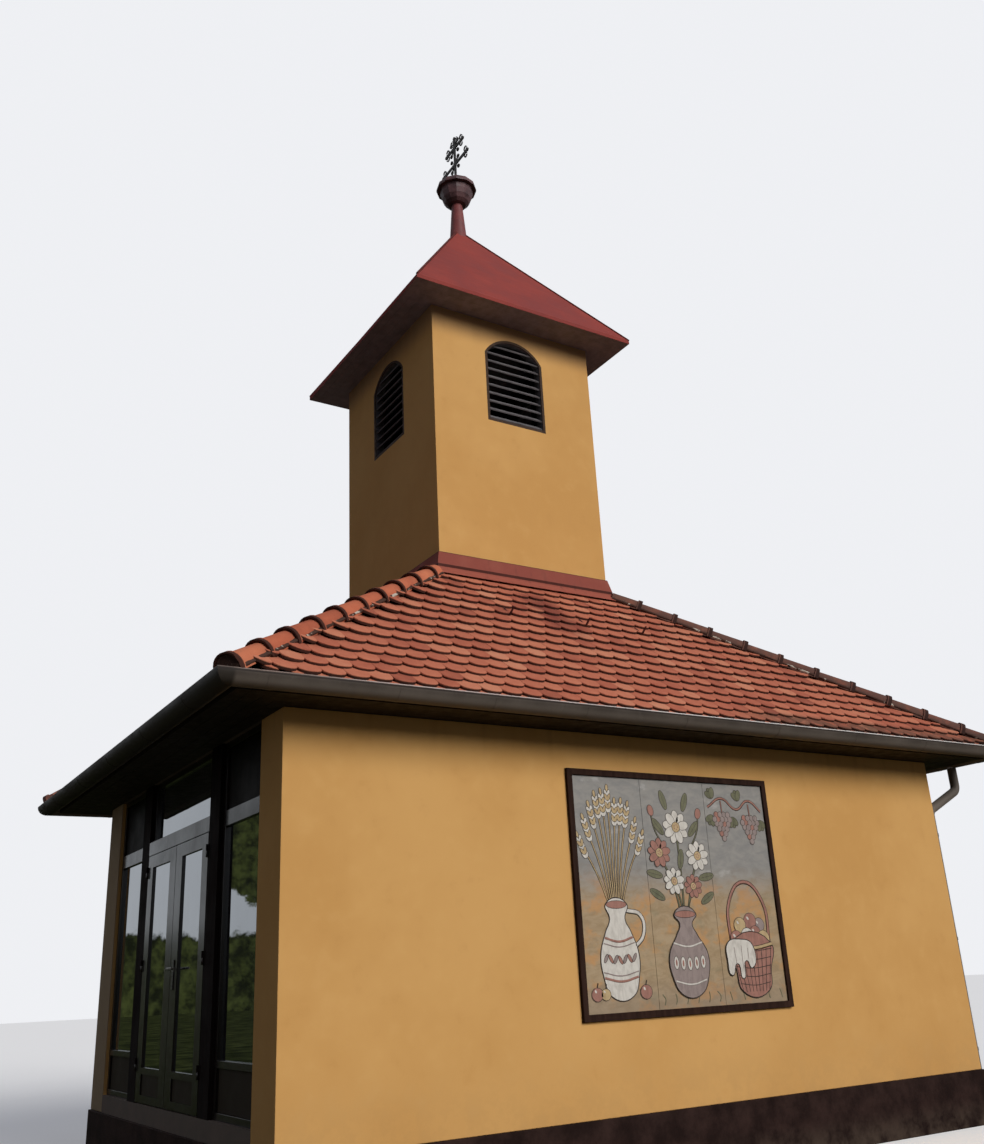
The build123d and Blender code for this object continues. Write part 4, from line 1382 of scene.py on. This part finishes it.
def makeRoofSeams():
    low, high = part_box("tower_roof")
    soffitLow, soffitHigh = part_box("tower_soffit")
    seamFoot = soffitHigh.z + seamSizes["footRise"]
    edgeFoot = soffitLow.z - seamSizes["edgeDrop"]
    apex = Vector((towerMiddle.x, towerMiddle.y, high.z))
    made = [makeDripEdge(low, high, edgeFoot, seamFoot - seamSizes["edgeGap"] - edgeFoot)]
    for x in (low.x, high.x):
        for y in (low.y, high.y):
            foot = Vector((x, y, seamFoot))
            made.append(makeSeam(foot, apex + (foot - apex) * seamSizes["topGap"]))
    dress(joined(made, "tower_roof_seams"), None, "red_sheet")


makeRoofSeams()
print("tower roof seams made")


# The picture on the wall boards: a jug of wheat, a vase of flowers and a basket of fruit

pictureSizes = {
    "film": 0.0004,        # thickness of one coat of paint
    "layer": 0.0003,       # each coat lies this much over the last
    "line": 0.008,         # width of the drawn outlines
    "seam": 0.003,
    "grain": (0.012, 0.027),
    "seed": 5,
}
pictureColours = {
    "cream": brushColour("creamPaint", (0.56, 0.525, 0.47), (0.38, 0.345, 0.3)),
    "mauve": brushColour("mauvePaint", (0.25, 0.195, 0.178), (0.165, 0.125, 0.112)),
    "rose": brushColour("rosePaint", (0.3, 0.14, 0.105), (0.19, 0.085, 0.064)),
    "straw": brushColour("strawPaint", (0.43, 0.315, 0.165), (0.27, 0.18, 0.085)),
    "leaf": brushColour("leafPaint", (0.13, 0.125, 0.068), (0.07, 0.07, 0.038)),
    "line": brushColour("linePaint", (0.034, 0.021, 0.015), (0.018, 0.011, 0.008)),
}


def boardMatrix(index):
    # the lower middle of one board's face: x along the wall, y up and z off the board
    low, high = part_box("mural_boards")
    width = (high.y - low.y + pictureSizes["seam"]) / 3
    place = Vector((high.x, low.y + width * (index + 0.5) - pictureSizes["seam"] / 2, low.z))
    return axes(Vector((0, 1, 0)), up, Vector((1, 0, 0)), place)


class Picture:
    def __init__(self, index, dab):
        self.matrix = boardMatrix(index)
        self.dabMaster = dab
        self.parts = []

    def keep(self, obj, u, v, level, colour, turn=0.0, width=1.0, length=1.0, depth=1.0):
        obj.data.materials.clear()
        obj.data.materials.append(pictureColours[colour].material)
        height = pictureSizes["film"] + level * pictureSizes["layer"]
        obj.matrix_world = (self.matrix @ Matrix.Translation((u, v, height))
                            @ Matrix.Rotation(math.radians(turn), 4, "Z")
                            @ Matrix.Diagonal((width, length, depth, 1)))
        self.parts.append(obj)

    def curve(self, points, closed):
        data = bpy.data.curves.new("drawn", "CURVE")
        data.resolution_u = 6
        spline = data.splines.new("BEZIER")
        spline.bezier_points.add(len(points) - 1)
        for knot, (u, v) in zip(spline.bezier_points, points):
            knot.co = (u, v, 0)
        for knot in spline.bezier_points:
            knot.handle_left_type = knot.handle_right_type = "AUTO"
        spline.use_cyclic_u = closed
        drawn = bpy.data.objects.new("drawn", data)
        bpy.context.collection.objects.link(drawn)
        return drawn, data

    def stroke(self, points, level, colour="line", width=None, closed=False, edged=False):
        # a brush line of one width, nearly flat on the board
        width = width or pictureSizes["line"]
        drawn, data = self.curve(points, closed)
        data.dimensions = "3D"
        data.bevel_depth = width / 2
        data.bevel_resolution = 1
        data.use_fill_caps = not closed
        pick(drawn)
        bpy.ops.object.convert(target="MESH")
        self.keep(bpy.context.object, 0, 0, level, colour, depth=pictureSizes["film"] / width)
        if edged:
            self.stroke(points, level - 1, "line", width + pictureSizes["line"], closed)

    def fill(self, points, level, colour):
        # a painted shape with a drawn outline
        drawn, data = self.curve(points, True)
        data.dimensions = "2D"
        data.fill_mode = "BOTH"
        data.extrude = pictureSizes["film"] / 2
        pick(drawn)
        bpy.ops.object.convert(target="MESH")
        self.keep(outwardNormals(bpy.context.object), 0, 0, level, colour)
        self.stroke(points, level + 1, closed=True)

    def dab(self, u, v, width, length, level, colour, turn=0.0, edge=0.0045):
        self.keep(twinAt(self.dabMaster, Matrix()), u, v, level, colour, turn, width, length)
        if edge:
            self.keep(twinAt(self.dabMaster, Matrix()), u, v, level - 1, "line", turn, width + edge,
                      length + edge)


def makeDab():
    bpy.ops.mesh.primitive_circle_add(vertices=14, radius=1, fill_type="NGON")
    dab = bpy.context.object
    openMesh(dab)
    extrude(0, 0, pictureSizes["film"])
    turnOutwards()
    closeMesh()
    return dab


def bothSides(points):
    # a symmetrical outline from its right half, which runs from the foot up
    return points + [(-u, v) for u, v in reversed(points)]


def paintEar(board, foot, tip, turn):
    # a stalk of wheat with its grains in pairs
    board.stroke([(foot.x, foot.y), (tip.x * 0.5, (tip.y + foot.y) / 2), (tip.x, tip.y)], 2, "straw", 0.01,
                 edged=True)
    rise = pointed(turn)
    side = Vector((rise.y, -rise.x))
    for k in range(5):
        for hand in (-1, 1):
            seat = tip + rise * (k * 0.033 - 0.1) + side * hand * 0.014
            board.dab(*seat, *pictureSizes["grain"], 6 + k % 2 * 2, "straw" if k % 2 else "cream",
                      turn - hand * 22)
    board.dab(*(tip + rise * 0.075), *pictureSizes["grain"], 8, "straw", turn)


def paintBand(board, v, width, dip, level, colour, thick):
    # a line that sags round a vessel
    board.stroke([(-width, v), (0, v - dip), (width, v)], level, colour, thick)


def paintJug(board, dice):
    for i in range(11):
        lean = (i - 5) / 5
        top = 1.58 - 0.34 * lean * lean + dice.uniform(-0.05, 0.05)
        paintEar(board, Vector((0.05 * lean, 0.74)), Vector((0.3 * lean, top)), -lean * 24)
    board.stroke([(0.1, 0.74), (0.235, 0.7), (0.25, 0.56), (0.15, 0.46)], 5, "cream", 0.03, edged=True)
    jug = [(0.1, 0.11), (0.175, 0.27), (0.185, 0.42), (0.125, 0.58), (0.075, 0.68), (0.105, 0.79)]
    board.fill(bothSides(jug), 10, "cream")
    board.dab(0, 0.785, 0.1, 0.028, 13, "rose")
    for v, width, colour, thick in ((0.25, 0.163, "rose", 0.018), (0.29, 0.17, "mauve", 0.009),
                                    (0.5, 0.152, "mauve", 0.009), (0.54, 0.136, "rose", 0.018)):
        paintBand(board, v, width, 0.03, 12, colour, thick)
    for i in range(7):
        v = 0.375 + abs(i - 3) * 0.005
        colour, turn = ("rose", 30) if i % 2 else ("mauve", -30)
        board.dab((i - 3) * 0.046, v, 0.012, 0.034, 13, colour, turn)
    for u, r, colour in ((-0.245, 0.052, "rose"), (-0.165, 0.044, "straw"), (0.225, 0.056, "rose")):
        board.dab(u, 0.12 + r * 0.3, r, r * 0.92, 15, colour)
        board.stroke([(u, 0.12 + r * 1.15), (u + 0.012, 0.15 + r * 1.3)], 16, "line", 0.007)
        board.dab(u - r * 0.3, 0.13 + r * 0.55, r * 0.16, r * 0.24, 16, "cream", 35, 0)


def paintBlossom(board, u, v, radius, colour, level):
    middleOfBlossom = Vector((u, v))
    for i in range(9):
        turn = 360 / 9 * i
        seat = middleOfBlossom + pointed(turn) * radius * 0.6
        board.dab(*seat, radius * 0.26, radius * 0.42, level + i % 2 * 2, colour, turn)
    board.dab(u, v, radius * 0.3, radius * 0.3, level + 5, "straw")
    for i in range(5):
        seat = middleOfBlossom + pointed(72 * i - 90) * radius * 0.14
        board.dab(*seat, 0.006, 0.006, level + 6, "rose", 0, 0)


def paintBlade(board, u, lean, height, tip):
    # a blade at the foot of a board
    board.stroke([(u, 0.03), (u + lean, 0.07), (u + tip, height)], 2, "leaf", 0.008)


def paintVase(board, dice):
    blossoms = ((0.0, 1.4, 0.135, "cream"), (-0.205, 1.19, 0.115, "rose"), (0.205, 1.17, 0.118, "cream"),
                (-0.075, 0.965, 0.105, "cream"), (0.125, 0.925, 0.092, "rose"))
    for u, v, radius, colour in blossoms:
        stalk = [(u * 0.12, 0.66), (u * 0.45 + 0.01, (v + 0.66) / 2), (u, v)]
        board.stroke(stalk, 2, "leaf", 0.013, edged=True)
    for u, v, turn in ((-0.26, 0.86, 62), (0.27, 0.83, -60), (-0.19, 1.4, 40), (0.19, 1.39, -42),
                       (0.02, 1.14, -12), (-0.27, 1.02, 78), (0.28, 1.0, -80), (-0.11, 1.62, 18),
                       (0.12, 1.61, -20)):
        board.dab(u, v, 0.03, 0.082, 4, "leaf", turn)
        rise = pointed(turn) * 0.065
        board.stroke([(u - rise.x, v - rise.y), (u + rise.x, v + rise.y)], 5, "line", 0.004)
    for u, v in ((-0.255, 1.53), (0.26, 1.52)):
        board.stroke([(u * 0.5, 1.22), (u * 0.9, 1.38), (u, v)], 2, "leaf", 0.009, edged=True)
        board.dab(u, v, 0.03, 0.044, 6, "rose", -u * 60)
    for index, blossom in enumerate(blossoms):
        paintBlossom(board, *blossom, 8 + index % 2 * 8)
    vase = [(0.095, 0.095), (0.19, 0.24), (0.2, 0.4), (0.105, 0.55), (0.065, 0.63), (0.115, 0.71)]
    board.fill(bothSides(vase), 28, "mauve")
    board.dab(0, 0.705, 0.108, 0.026, 31, "rose")
    for v, width in ((0.2, 0.16), (0.485, 0.15)):
        paintBand(board, v, width, 0.03, 30, "cream", 0.013)
    for i in range(5):
        u, v = (i - 2) * 0.07, 0.325 + abs(i - 2) * 0.006
        board.dab(u, v, 0.022, 0.048, 31, "cream")
        board.dab(u, v, 0.009, 0.026, 32, "rose", 0, 0)
    for i in range(6):
        u = -0.29 + i * 0.115
        paintBlade(board, u, 0.012, 0.11, dice.uniform(-0.02, 0.03))


def paintBasket(board, dice):
    handle = [(-0.215, 0.45), (-0.19, 0.8), (0.0, 0.96), (0.19, 0.8), (0.215, 0.45)]
    board.stroke(handle, 5, "rose", 0.026, edged=True)
    fruit = ((0.12, 0.61, 0.058, "mauve"), (0.02, 0.64, 0.068, "rose"), (-0.1, 0.61, 0.064, "straw"),
             (0.065, 0.545, 0.06, "rose"), (-0.03, 0.52, 0.07, "cream"), (0.15, 0.5, 0.068, "straw"),
             (-0.155, 0.505, 0.066, "rose"))
    for index, (u, v, radius, colour) in enumerate(fruit):
        board.dab(u, v, radius, radius * 0.95, 8 + index * 2, colour)
        shine = radius * 0.35
        board.dab(u - shine, v + shine, radius * 0.14, radius * 0.24, 9 + index * 2, "cream", 40, 0)
    board.fill(bothSides([(0.15, 0.095), (0.195, 0.26), (0.232, 0.455)]), 24, "rose")
    for row in range(5):
        paintBand(board, 0.155 + row * 0.066, 0.168 + row * 0.014, 0.018, 26, "line", 0.006)
    for i in range(9):
        share = (i - 4) / 4
        cane = [(0.145 * share, 0.088), (0.185 * share, 0.27), (0.222 * share, 0.445)]
        board.stroke(cane, 26, "line", 0.006)
    board.stroke([(-0.235, 0.455), (0, 0.425), (0.235, 0.455)], 29, "straw", 0.026, edged=True)
    cloth = [(-0.27, 0.47), (-0.13, 0.5), (0.01, 0.45), (-0.02, 0.27), (-0.08, 0.33), (-0.13, 0.19),
             (-0.18, 0.31), (-0.25, 0.22), (-0.285, 0.34)]
    board.fill(cloth, 32, "cream")
    for fold in (((-0.2, 0.44), (-0.19, 0.3)), ((-0.12, 0.45), (-0.12, 0.27)),
                 ((-0.05, 0.43), (-0.05, 0.34))):
        board.stroke(fold, 34, "mauve", 0.006)
    vine = [(-0.31, 1.58), (-0.14, 1.66), (0.02, 1.57), (0.17, 1.65), (0.31, 1.56)]
    board.stroke(vine, 3, "rose", 0.016, edged=True)
    for u, v in ((-0.155, 1.52), (0.165, 1.5)):
        board.stroke([(u, v + 0.12), (u + 0.006, v + 0.02)], 3, "rose", 0.009, edged=True)
        for row, count in enumerate((4, 5, 4, 3, 2, 1)):
            for k in range(count):
                colour = "mauve" if (row * 3 + k) % 4 else "rose"
                board.dab(u + (k - (count - 1) / 2) * 0.044, v - row * 0.04, 0.0235, 0.0235,
                          6 + (row + k) % 2 * 2, colour)
    for u, v, turn in ((-0.27, 1.5, 150), (-0.04, 1.49, 195), (0.05, 1.66, 20), (0.28, 1.47, 205),
                       (-0.25, 1.67, 30)):
        for swing in (-34, 0, 34):
            seat = Vector((u, v)) + pointed(turn + swing) * 0.034
            board.dab(*seat, 0.026, 0.046, 5 + swing % 3, "leaf", turn + swing)
    for i in range(5):
        u = -0.27 + i * 0.14
        paintBlade(board, u, -0.01, 0.1, dice.uniform(-0.03, 0.02))


def makePicture():
    dice = random.Random(pictureSizes["seed"])
    dab = makeDab()
    parts = []
    for index, painter in enumerate((paintJug, paintVase, paintBasket)):
        board = Picture(index, dab)
        painter(board, dice)
        parts += board.parts
    discard(dab)
    picture = joined(parts, "mural_picture")
    dress(picture, None, "mural_paint")
    print("picture:", len(picture.data.polygons), "faces")


makePicture()
print("picture painted")
